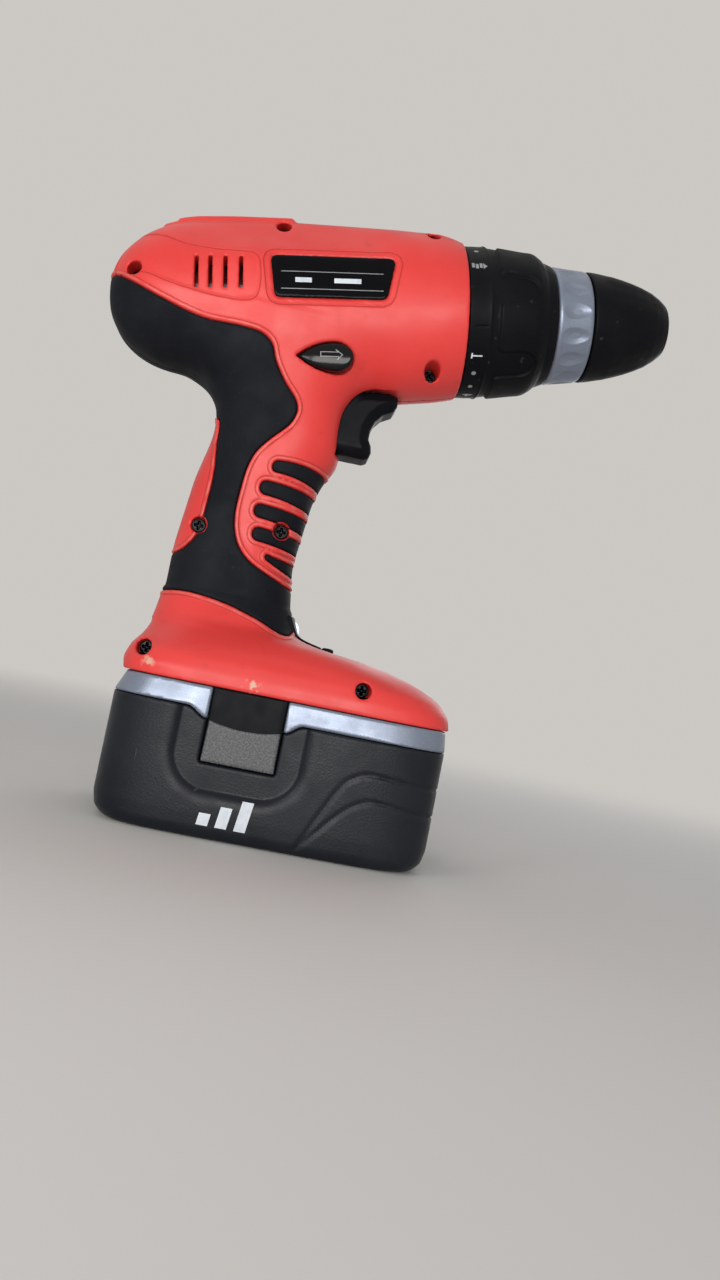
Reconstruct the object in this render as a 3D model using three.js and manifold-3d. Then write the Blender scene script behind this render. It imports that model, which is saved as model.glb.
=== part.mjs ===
// A cordless drill driver. Millimetres, +Z up, +X towards the chuck, +Y to the drill's left.
// The origin is the centre of the battery's underside, on which the drill stands.
// Three frames are used: the battery frame (the part's own), the drill frame, whose origin lies
// on the seam between foot and battery, and the barrel frame, whose X axis is the spindle's axis.
import * as THREE from 'three';
import { mergeVertices } from 'three/addons/utils/BufferGeometryUtils.js';
import Module from 'manifold-3d';

const wasm = await Module();
wasm.setup();

// ---- Driving dimensions ----------------------------------------------------------------------

const gap = 0.3; // between two pieces that touch
const wall = 3; // of the housing

const packLength = 116;
const packWidth = 80;
const caseHeight = 42;
const bandHeight = 7.2;
const packWall = 2.2;
const packCorner = 6; // exponent of the pack's oval outline

const footHeight = 29.2; // from the seam to where the grip starts
const gripHalfWidth = 17;
const barrelPitch = THREE.MathUtils.degToRad(11);
const barrelX = 34.9; // of the barrel's front edge on its axis
const barrelHeight = 151.2; // of the same point above the seam
const barrelLength = 127.8;
const barrelHalfWidth = 27.2;
const barrelRadius = 28; // at the front
const domeLength = 34; // of the rounded rear end

const rubberDepth = 1.2; // of the overmould
const labelLength = 43.5;
const labelHeight = 15.4;
const labelDepth = 0.8;

const motorRadius = 18;
const motorLength = 57;
const shaftRadius = 1.6;

const gearModule = 1.28;
const sunTeeth = 9;
const planetTeeth = 9;
const ringTeeth = sunTeeth + 2 * planetTeeth;
const planetCount = 3;
const gearWidth = 6;
const planetPinRadius = 2.3;
const carrierThickness = 3;

const gearcaseRadius = 21.6;
const gearcaseWall = 1.7;
const gearcaseLength = 43.4; // behind the barrel's front edge
const neckRadius = 14;
const neckLength = 29;
const spindleRadius = 6;
const shiftTravel = 5;

const collarLength = 33.5;
const collarPadCount = 6;
const collarPadTurn = (21 * Math.PI) / 180; // of the first pad, from straight left, at rest
const collarPadHeight = 1.1;
const chuckRingLength = 13.5;
const sleeveLength = 31.5;
const jawCount = 3;
const jawOpening = 10; // diameter between the jaws at rest
const jawAngle = THREE.MathUtils.degToRad(18);
const jawRadius = 3.1;

const towerHeight = 45.5; // of the pack's tower above the seam

const triggerHalfWidth = 8.6;
const triggerTravel = 7;
const screwHeadRadius = 2.6;
const screwShankRadius = 1.4;
const bossRadius = 3;

const latchLength = 24.8;
const latchHeight = 24.6;
const latchThickness = 2.5;
const latchTravel = 2.3;
const buttonRadius = 2.3;
const ledRadius = 2.4;

// ---- Materials -------------------------------------------------------------------------------

const surface = (color, roughness, metalness = 0) => (
  new THREE.MeshStandardMaterial({ color, roughness, metalness })
);
const redPlastic = surface(0xd9382a, 0.45);
const rubber = surface(0x1b1c1e, 0.8);
const blackPlastic = surface(0x222326, 0.55);
const glossyBlack = surface(0x101113, 0.2);
const silverPlastic = surface(0xa9aeb3, 0.4, 0.3);
const steel = surface(0x8b8e92, 0.35, 0.9);
const darkSteel = surface(0x4c4e52, 0.4, 0.9);
const copper = surface(0xb06a3a, 0.4, 0.8);
const nylon = surface(0xe4e1d6, 0.6);
const cellWrap = surface(0x2f6f4f, 0.5);
const lamp = surface(0xdfe9ff, 0.15);

// ---- Solids ----------------------------------------------------------------------------------

/** Position-only copy with shared vertices merged and faces pointing out. */
function closed(geometry) {
  const bare = geometry.clone();
  for (const name of Object.keys(bare.attributes)) {
    if (name !== 'position') bare.deleteAttribute(name);
  }
  const merged = mergeVertices(bare, 1e-4);
  const position = merged.attributes.position;
  const [a, b, c] = [new THREE.Vector3(), new THREE.Vector3(), new THREE.Vector3()];
  const faces = [];
  let volume = 0;
  for (let i = 0; i < merged.index.count; i += 3) {
    const face = [merged.index.getX(i), merged.index.getX(i + 1), merged.index.getX(i + 2)];
    if (new Set(face).size < 3) continue;
    faces.push(face);
    a.fromBufferAttribute(position, face[0]);
    b.fromBufferAttribute(position, face[1]);
    c.fromBufferAttribute(position, face[2]);
    volume += a.dot(b.cross(c));
  }
  const outward = volume > 0 ? faces : faces.map(([i, j, k]) => [i, k, j]);
  merged.setIndex(outward.flat());
  return merged;
}

/** A manifold of a closed geometry, moved by a matrix if one is given. */
function solid(geometry, matrix) {
  const shape = closed(matrix ? geometry.clone().applyMatrix4(matrix) : geometry);
  return new wasm.Manifold(new wasm.Mesh({
    numProp: 3,
    vertProperties: new Float32Array(shape.attributes.position.array),
    triVerts: new Uint32Array(shape.index.array),
  }));
}

const join = (first, ...others) => others.reduce((sum, other) => sum.add(other), first);
const cut = (first, ...others) => others.reduce((rest, other) => rest.subtract(other), first);

/** A mesh's geometry from a manifold. */
function geometryOf(manifold) {
  const { vertProperties, triVerts } = manifold.getMesh();
  const geometry = new THREE.BufferGeometry();
  geometry.setAttribute('position', new THREE.BufferAttribute(new Float32Array(vertProperties), 3));
  geometry.setIndex(new THREE.BufferAttribute(new Uint32Array(triVerts), 1));
  geometry.computeVertexNormals();
  return geometry;
}

function add(group, name, manifold, material) {
  const mesh = new THREE.Mesh(geometryOf(manifold), material);
  mesh.name = name;
  group.add(mesh);
  return mesh;
}

/** Joins rings of points, each ring with the same count, into a closed skin with flat ends. */
function loft(rings) {
  const count = rings[0].length;
  const points = rings.flat();
  const faces = [];
  for (let r = 0; r + 1 < rings.length; r++) {
    for (let i = 0; i < count; i++) {
      const [p, q] = [r * count + i, r * count + ((i + 1) % count)];
      faces.push(p, q, q + count, p, q + count, p + count);
    }
  }
  for (const [ring, flip] of [[0, true], [rings.length - 1, false]]) {
    const middle = points.length;
    const centre = new THREE.Vector3();
    rings[ring].forEach((point) => centre.addScaledVector(point, 1 / count));
    points.push(centre);
    for (let i = 0; i < count; i++) {
      const [p, q] = [ring * count + i, ring * count + ((i + 1) % count)];
      faces.push(...(flip ? [middle, q, p] : [middle, p, q]));
    }
  }
  const geometry = new THREE.BufferGeometry().setFromPoints(points);
  geometry.setIndex(faces);
  return geometry;
}

/** Points of an oval whose corners sharpen as the exponent rises from 2, an ellipse. */
function oval(halfA, halfB, exponent, count) {
  return Array.from({ length: count }, (_, i) => {
    const angle = (2 * Math.PI * i) / count;
    const [c, s] = [Math.cos(angle), Math.sin(angle)];
    return [
      halfA * Math.sign(c) * Math.abs(c) ** (2 / exponent),
      halfB * Math.sign(s) * Math.abs(s) ** (2 / exponent),
    ];
  });
}

/** A turned solid about the X axis. The outline is a list of [x, radius]. */
function turned(outline, segments = 32, matrix) {
  const points = outline.map(([x, radius]) => new THREE.Vector2(radius, x));
  const onAxis = outline[0][1] === 0 && outline.at(-1)[1] === 0;
  if (!onAxis) points.push(points[0].clone());
  return solid(new THREE.LatheGeometry(points, segments).rotateZ(-Math.PI / 2), matrix);
}

const disc = (x0, x1, radius, segments, matrix) =>
  turned([[x0, 0], [x0, radius], [x1, radius], [x1, 0]], segments, matrix);
const tube = (x0, x1, inner, outer, segments) =>
  turned([[x0, inner], [x0, outer], [x1, outer], [x1, inner]], segments);

/** A rod along Y. */
function rodY(x, z, y0, y1, radius, segments = 12, matrix) {
  const rod = new THREE.CylinderGeometry(radius, radius, y1 - y0, segments);
  return solid(rod.translate(x, (y0 + y1) / 2, z), matrix);
}

/** A rod along Z. */
function rodZ(x, y, z0, z1, radius, segments = 12, matrix) {
  const rod = new THREE.CylinderGeometry(radius, radius, z1 - z0, segments).rotateX(Math.PI / 2);
  return solid(rod.translate(x, y, (z0 + z1) / 2), matrix);
}

function box(x0, x1, y0, y1, z0, z1, matrix) {
  const block = new THREE.BoxGeometry(x1 - x0, y1 - y0, z1 - z0);
  return solid(block.translate((x0 + x1) / 2, (y0 + y1) / 2, (z0 + z1) / 2), matrix);
}

/** A side outline of [x, z] points, extruded from y0 to y1. */
function plate(outline, y0, y1, matrix) {
  const shape = new THREE.Shape(outline.map(([x, z]) => new THREE.Vector2(x, z)));
  const slab = new THREE.ExtrudeGeometry(shape, { depth: y1 - y0, bevelEnabled: false });
  return solid(slab.rotateX(Math.PI / 2).translate(0, y1, 0), matrix);
}

/** An outline of [y, z] points, extruded from x0 to x1. */
function plateX(outline, x0, x1, holes = []) {
  const shape = new THREE.Shape(outline.map(([y, z]) => new THREE.Vector2(y, z)));
  shape.holes = holes.map((hole) => new THREE.Path(hole.map(([y, z]) => new THREE.Vector2(y, z))));
  const slab = new THREE.ExtrudeGeometry(shape, { depth: x1 - x0, bevelEnabled: false });
  const turn = new THREE.Matrix4().makeBasis(
    new THREE.Vector3(0, 1, 0), new THREE.Vector3(0, 0, 1), new THREE.Vector3(1, 0, 0),
  );
  return solid(slab.applyMatrix4(turn).translate(x0, 0, 0));
}

/** A rounded rectangle as an outline. */
function roundedBox(x0, x1, z0, z1, radius, steps = 4) {
  const points = [];
  const corners = [[x1 - radius, z1 - radius], [x0 + radius, z1 - radius],
    [x0 + radius, z0 + radius], [x1 - radius, z0 + radius]];
  corners.forEach(([x, z], quarter) => {
    for (let i = 0; i <= steps; i++) {
      const angle = (Math.PI / 2) * (quarter + i / steps);
      points.push([x + radius * Math.cos(angle), z + radius * Math.sin(angle)]);
    }
  });
  return points;
}

/** An outline moved out by a distance, or in where it is negative. */
function grown(outline, distance) {
  const area = outline.reduce((sum, [x, z], i) => {
    const [nextX, nextZ] = outline[(i + 1) % outline.length];
    return sum + x * nextZ - nextX * z;
  }, 0);
  const side = Math.sign(area);
  const normal = ([x0, z0], [x1, z1]) => {
    const length = Math.hypot(x1 - x0, z1 - z0);
    return [(side * (z1 - z0)) / length, (-side * (x1 - x0)) / length];
  };
  return outline.map((point, i) => {
    const before = outline.at(i - 1);
    const after = outline[(i + 1) % outline.length];
    const [a, b] = [normal(before, point), normal(point, after)];
    const scale = distance / (1 + a[0] * b[0] + a[1] * b[1]);
    return [point[0] + (a[0] + b[0]) * scale, point[1] + (a[1] + b[1]) * scale];
  });
}

class Coil extends THREE.Curve {
  constructor(radius, turns, length) {
    super();
    Object.assign(this, { radius, turns, length });
  }

  getPoint(t) {
    const angle = 2 * Math.PI * this.turns * t;
    return new THREE.Vector3(
      this.length * t, this.radius * Math.cos(angle), this.radius * Math.sin(angle),
    );
  }
}

/** A coil spring along X from x0 to x1, with its wire inside both ends. */
function spring(x0, x1, radius, wireRadius, turns, matrix) {
  const curve = new Coil(radius, turns, x1 - x0 - 2 * wireRadius);
  const round = oval(wireRadius, wireRadius, 2, 5).map(([x, y]) => new THREE.Vector2(x, y));
  const section = new THREE.Shape(round);
  const steps = Math.round(turns * 8);
  const wire = new THREE.ExtrudeGeometry(section, { steps, extrudePath: curve });
  return solid(wire.translate(x0 + wireRadius, 0, 0), matrix);
}

// ---- Gears -----------------------------------------------------------------------------------

const pitchRadius = (teeth) => (teeth * gearModule) / 2;
const addendum = 0.8 * gearModule;
const dedendum = 1.15 * gearModule;
const planetOrbit = pitchRadius(sunTeeth) + pitchRadius(planetTeeth);

/** Tooth outline with a tooth centred on the angle phase; inner teeth where inside is true. */
function toothOutline(teeth, phase, inside = false) {
  const pitch = (2 * Math.PI) / teeth;
  const sign = inside ? -1 : 1;
  const root = pitchRadius(teeth) - sign * dedendum;
  const tip = pitchRadius(teeth) + sign * addendum;
  const points = [];
  for (let tooth = 0; tooth < teeth; tooth++) {
    for (const [share, radius] of [[-0.27, root], [-0.12, tip], [0.12, tip], [0.27, root]]) {
      const angle = phase + pitch * (tooth + share);
      points.push([radius * Math.cos(angle), radius * Math.sin(angle)]);
    }
  }
  return points;
}

/** The phase that puts a planet at an angle in mesh with a sun whose phase is zero. */
function planetPhase(angle) {
  const sunShare = (angle * sunTeeth) / (2 * Math.PI);
  return angle + Math.PI - ((2 * Math.PI) / planetTeeth) * (0.5 - sunShare);
}

const planetAngles = Array.from({ length: planetCount }, (_, i) => (2 * Math.PI * i) / planetCount);
const circle = (radius, count) => oval(radius, radius, 2, count);

function planetGear(x0, angle) {
  const teeth = toothOutline(planetTeeth, planetPhase(angle));
  const bore = circle(planetPinRadius + gap, 8);
  return plateX(teeth, x0, x0 + gearWidth, [bore]);
}

/** A disc with three pins behind it and a sun gear or a shaft in front. */
function carrier(x0, radius, front) {
  const pins = planetAngles.map((angle) => {
    const place = new THREE.Matrix4().makeTranslation(
      0, planetOrbit * Math.cos(angle), planetOrbit * Math.sin(angle),
    );
    return disc(x0 - gearWidth - 2 * gap, x0 + gap, planetPinRadius, 8, place);
  });
  return join(disc(x0, x0 + carrierThickness, radius, 20), ...pins, front);
}

// ---- The housing's outer form ----------------------------------------------------------------

const barrelFrame = new THREE.Matrix4()
  .makeRotationY(-barrelPitch)
  .setPosition(barrelX, 0, barrelHeight);
const barrelTop = barrelRadius + 4.4;
const barrelBelly = barrelRadius + 2.8;
const domeStart = -(barrelLength - domeLength);
const spineFront = -60; // where the raised spine on top begins
const barrelPoints = 24;
const hollowPoints = 12; // round the inside of the housing
const gripPoints = 18;
const footPoints = 22;

/** Barrel sections: place along the axis, top, bottom, half width and exponent. */
const barrelStations = [
  [domeStart, barrelTop + 0.7, -23.6, barrelHalfWidth - 1.8, 2.2],
  [domeStart + 12, barrelTop + 1.2, -26, barrelHalfWidth - 1.1, 2.3],
  [spineFront - 2.5, barrelTop + 1.6, -28.6, barrelHalfWidth - 0.3, 2.3],
  [spineFront, barrelTop + 0.2, -28.7, barrelHalfWidth - 0.2, 2.3],
  [-24, barrelTop - 0.7, -barrelBelly, barrelHalfWidth + 0.6, 2.2],
  [-7, barrelTop - 1.5, -barrelBelly + 1.5, barrelRadius + 0.2, 2.1],
  [0, barrelRadius + 0.6, -barrelRadius - 0.2, barrelRadius - 0.1, 2],
];

/** The rounded rear end: share of the dome's length, top, bottom and half width. */
const domeStations = [
  [1, 6, -0.5, 4],
  [0.97, barrelTop - 22, -5, barrelHalfWidth - 17.5],
  [0.9, barrelTop - 16.8, -9.8, barrelHalfWidth - 11.5],
  [0.79, barrelTop - 12, -14.8, barrelHalfWidth - 7],
  [0.5, barrelTop - 4.6, -20.6, barrelHalfWidth - 3.4],
];

/** The barrel as a solid, its skin moved in by inset, its front end at x = front. */
function barrelSolid(inset, front = 0, points = barrelPoints) {
  const ring = (x, top, bottom, half, exponent) => {
    const middle = (top + bottom) / 2;
    return oval(half - inset, (top - bottom) / 2 - inset, exponent, points)
      .map(([y, z]) => new THREE.Vector3(x, y, z + middle));
  };
  const dome = domeStations.map(([share, top, bottom, half]) => (
    ring(domeStart - (domeLength - inset) * share, top, bottom, half, barrelStations[0][4])
  ));
  const straight = barrelStations.map(([x, ...section]) => ring(x === 0 ? front : x, ...section));
  return solid(loft([...dome, ...straight]), barrelFrame);
}

/** Grip sections: height above the seam, back, front, half width and exponent. */
const gripStations = [
  [footHeight - 8, -52, -0.8, gripHalfWidth + 4.5, 2.5],
  [footHeight + 1, -50.8, -4.4, gripHalfWidth + 1.2, 2.3],
  [footHeight + 18, -50.9, -7, gripHalfWidth, 2.3],
  [footHeight + 43, -48.4, -4.6, gripHalfWidth, 2.3],
  [footHeight + 52, -46.5, -1.8, gripHalfWidth + 0.2, 2.3],
  [footHeight + 57, -45.4, 1.6, gripHalfWidth + 0.6, 2.4],
  [footHeight + 62, -44.8, 1.9, gripHalfWidth + 1.3, 2.6],
  [footHeight + 70, -45.8, 0.7, gripHalfWidth + 2.9, 2.6],
  [barrelHeight - 45, -50.4, 0.7, gripHalfWidth + 4.8, 2.6],
  [barrelHeight - 40, -59, 3, gripHalfWidth + 6.2, 2.6],
  [barrelHeight - 32, -68, 9, gripHalfWidth + 8, 2.5],
  [barrelHeight - 20, -66, 14, gripHalfWidth + 7.5, 2.5],
];

const footLength = packLength + 0.6;
const footHalfWidth = packWidth / 2 - 1;
const footFront = packLength / 2 + 0.6;
const footBack = footFront - footLength;

/** Foot sections: height above the seam, back, front, half width and exponent. */
const footStations = [
  [0, footBack + 0.8, footFront, footHalfWidth, 5],
  [4, footBack, footFront - 0.8, footHalfWidth, 5],
  [9, footBack + 1.2, footFront - 4.6, footHalfWidth - 1.4, 4.2],
  [13, footBack + 3.8, footFront - 12.2, footHalfWidth - 4.5, 3.4],
  [16, footBack + 4.9, footFront - 22.2, footHalfWidth - 8, 3],
  [18.4, footBack + 5.6, footFront - 34.4, footHalfWidth - 11.5, 2.8],
  [19.2, footBack + 5.8, footFront - 49, footHalfWidth - 12.8, 2.7],
  [22.2, footBack + 6.4, footFront - 59.4, footHalfWidth - 16.5, 2.5],
  [footHeight, footBack + 7.1, -4.2, gripHalfWidth + 1.4, 2.3],
];

/** Horizontal sections as a solid, its skin moved in by inset and its top down by drop. */
function uprightSolid(stations, inset, points, drop = 0, lowest = stations[0][0]) {
  return solid(loft(stations.map(([height, back, front, half, exponent], i) => {
    const z = i === 0 ? lowest : height - drop;
    const middle = (back + front) / 2;
    return oval((front - back) / 2 - inset, half - inset, exponent, points)
      .map(([x, y]) => new THREE.Vector3(x + middle, y, z));
  })));
}

/** The whole outer form, its skin moved in by inset. */
const body = (inset) => join(
  barrelSolid(inset),
  uprightSolid(gripStations, inset, gripPoints),
  uprightSolid(footStations, inset, footPoints, inset),
);

/** A layer of the skin between two depths, inside a side outline, on one side. */
function skinPatch(outline, side, outer, inner) {
  const reach = packWidth;
  const [y0, y1] = side < 0 ? [-reach, -gap / 2] : [gap / 2, reach];
  return body(outer).subtract(body(inner)).intersect(plate(outline, y0, y1));
}

const sides = [['right', -1], ['left', 1]];

const drill = new THREE.Group();
drill.position.z = caseHeight + bandHeight + gap;
const barrel = new THREE.Group();
barrel.position.set(barrelX, 0, barrelHeight);
barrel.rotation.y = -barrelPitch;
drill.add(barrel);
const battery = new THREE.Group();

// ---- Side outlines of what is let into the housing -------------------------------------------

/** The rubber on the grip and on the lower rear of the barrel, from the rear round to the foot. */
const rubberOutline = [
  [-110, barrelHeight - 15.7], [-89.7, barrelHeight - 16.4], [-81.2, barrelHeight - 19.6],
  [-69.9, barrelHeight - 23.6], [-54.8, barrelHeight - 27], [-40.4, barrelHeight - 27.4],
  [-33.8, barrelHeight - 28.1], [-29.6, barrelHeight - 30.8], [-27.1, barrelHeight - 36.2],
  [-22.9, barrelHeight - 42.1], [-17.3, barrelHeight - 48], [-16.3, barrelHeight - 51.2],
  [-18.8, 96.1], [-24.9, 90.3], [-28, 83.6], [-29.2, 75.2], [-31.2, 72.4], [-30.8, 61.9],
  [-28.9, 52.7], [-24.2, 46.7], [-16.5, 43.2], [-6.7, 40.6], [4, 39], [4, footHeight - 9],
  [-2.3, footHeight - 7.5], [-16.4, footHeight - 3.5], [-27.3, footHeight - 0.6],
  [-40.7, footHeight + 1.1], [-62, footHeight + 1.3], [-62, 43.4], [-49.6, 43.4], [-45.2, 46.4],
  [-41.9, 52.1], [-41.1, 62], [-40.9, 73.9], [-42.2, 84], [-44.1, 94.7], [-62, 96.5], [-110, 96.5],
];

/** The stripes of rubber under the fingers, from the top one down. */
const stripeOutlines = [
  [[-24.2, 78.3], [-21, 81.9], [-12.3, 82.4], [3, 81.4], [3, 76.4], [-13.2, 78.3], [-21.9, 77.5]],
  [[-25.9, 71.5], [-24.3, 74.7], [3, 72.8], [3, 68.6], [-23.8, 70.2]],
  [[-26.5, 62.9], [-25.2, 65.9], [3, 63.6], [3, 60.2], [-24.4, 62.1]],
  [[-25.3, 55.2], [-24.4, 57.8], [3, 54.6], [3, 50.6], [-23, 53.1]],
  [[-19.1, 49.2], [3, 48.9], [3, 43], [-7.6, 44.3]],
];

const labelBack = -69.8; // the label's end along the barrel
const labelBottom = -2.4;
const labelFront = labelBack + labelLength;
const labelTop = labelBottom + labelHeight;
const labelOutline = [
  [labelBack + 1.2, labelBottom + 1.8], [labelBack + 1.8, labelBottom + 0.5],
  [labelBack + 3.2, labelBottom], [labelFront - 4.8, labelBottom], [labelFront - 3.3, labelBottom + 0.5],
  [labelFront - 2.5, labelBottom + 1.9], [labelFront, labelTop - 2.2], [labelFront - 0.5, labelTop - 0.6],
  [labelFront - 2, labelTop], [labelBack + 2, labelTop], [labelBack + 0.5, labelTop - 0.6],
  [labelBack, labelTop - 2.2],
];

const triggerBack = -9;
const triggerFront = 19;
const triggerBottom = 90.9;
const triggerTop = barrelHeight - 33.8;
const triggerShoulder = triggerTop - 6.1;
const triggerOutline = [
  [triggerBack, triggerShoulder], [0.6, triggerShoulder], [4.5, triggerTop - 1.8],
  [triggerFront - 3.3, triggerTop], [triggerFront - 0.6, triggerTop - 0.5],
  [triggerFront, triggerTop - 2], [triggerFront, triggerTop - 4],
  [triggerFront - 0.9, triggerTop - 6], [triggerFront - 4.5, triggerTop - 8.1],
  [triggerFront - 6.8, triggerTop - 11], [triggerFront - 8, triggerTop - 14.7],
  [triggerFront - 8, triggerTop - 18.2],
  [triggerFront - 6.7, triggerBottom + 6], [triggerFront - 6.2, triggerBottom + 3.6],
  [triggerFront - 6.8, triggerBottom + 1.4], [triggerFront - 8.4, triggerBottom],
  [triggerBack, triggerBottom],
];

/** The direction selector's cap: a drop with its point to the rear, in the barrel frame. */
const selectorU = -50.2;
const selectorV = -22.4;
const selectorHalfLength = 9.8;
const selectorHalfHeight = 4.9;
const selectorOutline = oval(1, 1, 2, 24).map(([x, z]) => {
  const narrow = x < 0 ? 1 - 0.45 * x * x : 1;
  return [selectorU + selectorHalfLength * x, selectorV + selectorHalfHeight * z * narrow];
});

// ---- Screws and their bosses -----------------------------------------------------------------

/** Place of each screw on the side, the depth of its head, and its boss's far end. */
const screwPlaces = [
  { x: -81.6, z: barrelHeight - 14.5, head: 20 },
  { x: -34.4, z: barrelHeight + 14.6, head: 14 },
  { x: 19.2, z: barrelHeight + 23.4, head: 13.5 },
  { x: 25.9, z: barrelHeight - 27.2, head: 15.5 },
  { x: -42.6, z: 54.4, head: 11.5 },
  { x: -13.5, z: 58.2, head: 11.5 },
  { x: -50.2, z: 8.2, head: 24 },
  { x: 24.5, z: 8, head: 31 },
];
const screwHeadHeight = 1.8;
const screwReach = 7; // of the shank into the left half

// ---- Housing halves and overmould ------------------------------------------------------------

const outerBody = body(0);
const innerBody = join(
  barrelSolid(wall, -5, hollowPoints),
  uprightSolid(
    gripStations.filter((_, i) => i % 2 === 0 || i === gripStations.length - 1), wall, hollowPoints,
  ),
  uprightSolid(footStations, wall, hollowPoints, wall, -1),
);
const pitSolid = body(rubberDepth + gap);
const bossLimit = body(1.6);

const motorBack = -gearcaseLength - gap - motorLength;
const ribPlaces = [motorBack + 6, motorBack + 40];
const ribThickness = 2;

/** The hollow that the drill's inner pieces sit in, and every opening of the housing. */
const frontBore = disc(-6, 1, gearcaseRadius + gap, 28, barrelFrame);
const triggerPocketBack = triggerBack - triggerTravel - 1;
const triggerOpening = plate([
  [triggerPocketBack, triggerBottom - gap], [triggerFront + 11, triggerBottom - gap],
  [triggerFront + 11, triggerTop - 4.9], [triggerFront + gap, triggerTop - 3.6],
  [triggerFront + gap, triggerTop + gap], [0.6 - triggerTravel + 3, triggerTop + gap],
  [0.6 - triggerTravel - 3.6, triggerShoulder + 0.7], [triggerPocketBack, triggerShoulder + 0.7],
], -triggerHalfWidth - gap, triggerHalfWidth + gap);
const labelPit = cut(
  plate(grown(labelOutline, gap), -packWidth, 0, barrelFrame),
  body(labelDepth + gap),
);
const selectorWindow = plate(grown(selectorOutline, gap), -packWidth, packWidth, barrelFrame);
const ventPlaces = [-95.5, -90.7, -85.5, -80.1];
const ventWidth = 1.4;
const ventHeight = 11.5;
const ventBottom = 0.6;
const vents = ventPlaces.map((x) => box(
  x - ventWidth / 2, x + ventWidth / 2, -packWidth, packWidth, ventBottom, ventBottom + ventHeight,
  barrelFrame,
));

const shiftU = -23; // centre of the speed selector in low gear
const shiftKnobLength = 11;
const shiftKnobHalfWidth = 6.5;
const shiftStemHalfWidth = 2.5;
const shiftStemHalfLength = 1.6;
const shiftPitFloor = barrelTop - 3.3;
const shiftPit = join(
  box(
    shiftU - shiftKnobLength / 2 - shiftTravel - gap, shiftU + shiftKnobLength / 2 + gap,
    -shiftKnobHalfWidth - gap, shiftKnobHalfWidth + gap, shiftPitFloor, barrelTop + 10, barrelFrame,
  ),
  box(
    shiftU - shiftStemHalfLength - shiftTravel - gap, shiftU + shiftStemHalfLength + gap,
    -shiftStemHalfWidth - gap, shiftStemHalfWidth + gap, gearcaseRadius, barrelTop + 10, barrelFrame,
  ),
);

const lampX = -1.5;
const lampZ = 24;
const chargeButtonX = 11.8;
const chargeButtonHole = rodZ(chargeButtonX, 0, 10, 26, buttonRadius + gap);

const lampHalfWidth = 8;
const lampOutline = [[-6.5, 27.6], [4.6, 27.6], [4.6, 17.4], [-6.5, 17.4]];
const lampPit = plate(grown(lampOutline, gap), -lampHalfWidth - gap, lampHalfWidth + gap);

const roundHole = 8; // sides of the screws' counterbores
const smallHole = 6; // sides of the screws' bosses and pilot holes

const switchBack = -36.5;
const switchFront = triggerBack - triggerTravel - 1.5;
const switchBottom = 84.5;
const switchTop = 111;
const switchHalfWidth = 10;
const switchRibPlaces = [switchBack + 4, switchFront - 6];
const contactBack = -37.5;
const contactFront = -20;
const contactBottom = towerHeight + gap;
const contactTop = contactBottom + 12;
const contactHalfWidth = 10.6;
const fingerScrew = screwPlaces[5];
const stripeJoinHalf = 1.6; // half width of the strip that joins the stripes

/** The finger stripes and the strip that joins them, grown by a clearance. */
function stripePlates(clearance, side) {
  const span = (from, to) => (side < 0 ? [-to, -from] : [from, to]);
  const near = clearance > 0 ? -1 : gap / 2;
  const lines = stripeOutlines.map((line) => plate(grown(line, clearance), ...span(near, packWidth)));
  const [top, bottom] = [stripeOutlines[0][2][1], stripeOutlines.at(-1)[0][1]];
  const strip = box(
    -15, 3, ...span(near, stripeJoinHalf + clearance), bottom - 3 - clearance, top - 2 + clearance,
  );
  return [...lines, strip];
}

function housingHalf(side) {
  const [y0, y1] = side < 0 ? [-packWidth, -gap / 2] : [gap / 2, packWidth];
  const across = (near, far) => (side < 0 ? [-far, -near] : [near, far]);
  const half = box(-200, 200, y0, y1, -20, 260);
  const rubberPit = cut(plate(grown(rubberOutline, gap), -packWidth, packWidth), pitSolid);
  const ribs = ribPlaces.map((x) => cut(
    box(x, x + ribThickness, y0, y1, -motorRadius - 2, barrelTop, barrelFrame).intersect(bossLimit),
    disc(x - 1, x + ribThickness + 1, motorRadius + gap, 18, barrelFrame),
  ));
  const switchRibs = switchRibPlaces.map((x) => box(
    x, x + ribThickness, ...across(switchHalfWidth + gap, packWidth / 2), switchBottom, switchTop,
  ).intersect(bossLimit));
  const contactRib = box(
    contactBack + 2, contactBack + 2 + ribThickness,
    ...across(contactHalfWidth + gap, packWidth / 2), contactBottom, contactBottom + 6,
  ).intersect(bossLimit);
  const bosses = screwPlaces.map(({ x, z, head }) => join(
    rodY(x, z, ...across(gap / 2, packWidth / 2), bossRadius, smallHole),
    ...(side < 0 ? [
      rodY(x, z, -packWidth, -head + screwHeadHeight + 2, screwHeadRadius + 1.5, roundHole),
    ] : []),
  ).intersect(bossLimit));
  const holes = screwPlaces.map(({ x, z, head }) => (side < 0
    ? join(
      rodY(x, z, -packWidth, -head + screwHeadHeight + gap, screwHeadRadius + gap, roundHole),
      rodY(x, z, -head, 1, screwShankRadius + gap, smallHole),
    )
    : rodY(x, z, -1, screwReach + gap, screwShankRadius + gap, smallHole)));
  const stripePit = cut(join(...stripePlates(gap, side)), pitSolid);
  return cut(
    join(outerBody.intersect(half).subtract(innerBody), ...ribs, ...switchRibs, contactRib, ...bosses),
    rubberPit, frontBore, triggerOpening, labelPit, selectorWindow, ...vents, shiftPit,
    chargeButtonHole, lampPit, stripePit, ...holes,
  );
}

/** The rubber over the back of the grip and the lower rear of the barrel. */
const overmould = (side) => cut(
  skinPatch(rubberOutline, side, 0, rubberDepth),
  lampPit,
  ...screwPlaces.map(({ x, z }) => rodY(x, z, -packWidth, packWidth, screwHeadRadius + 2 * gap, roundHole)),
);

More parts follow.
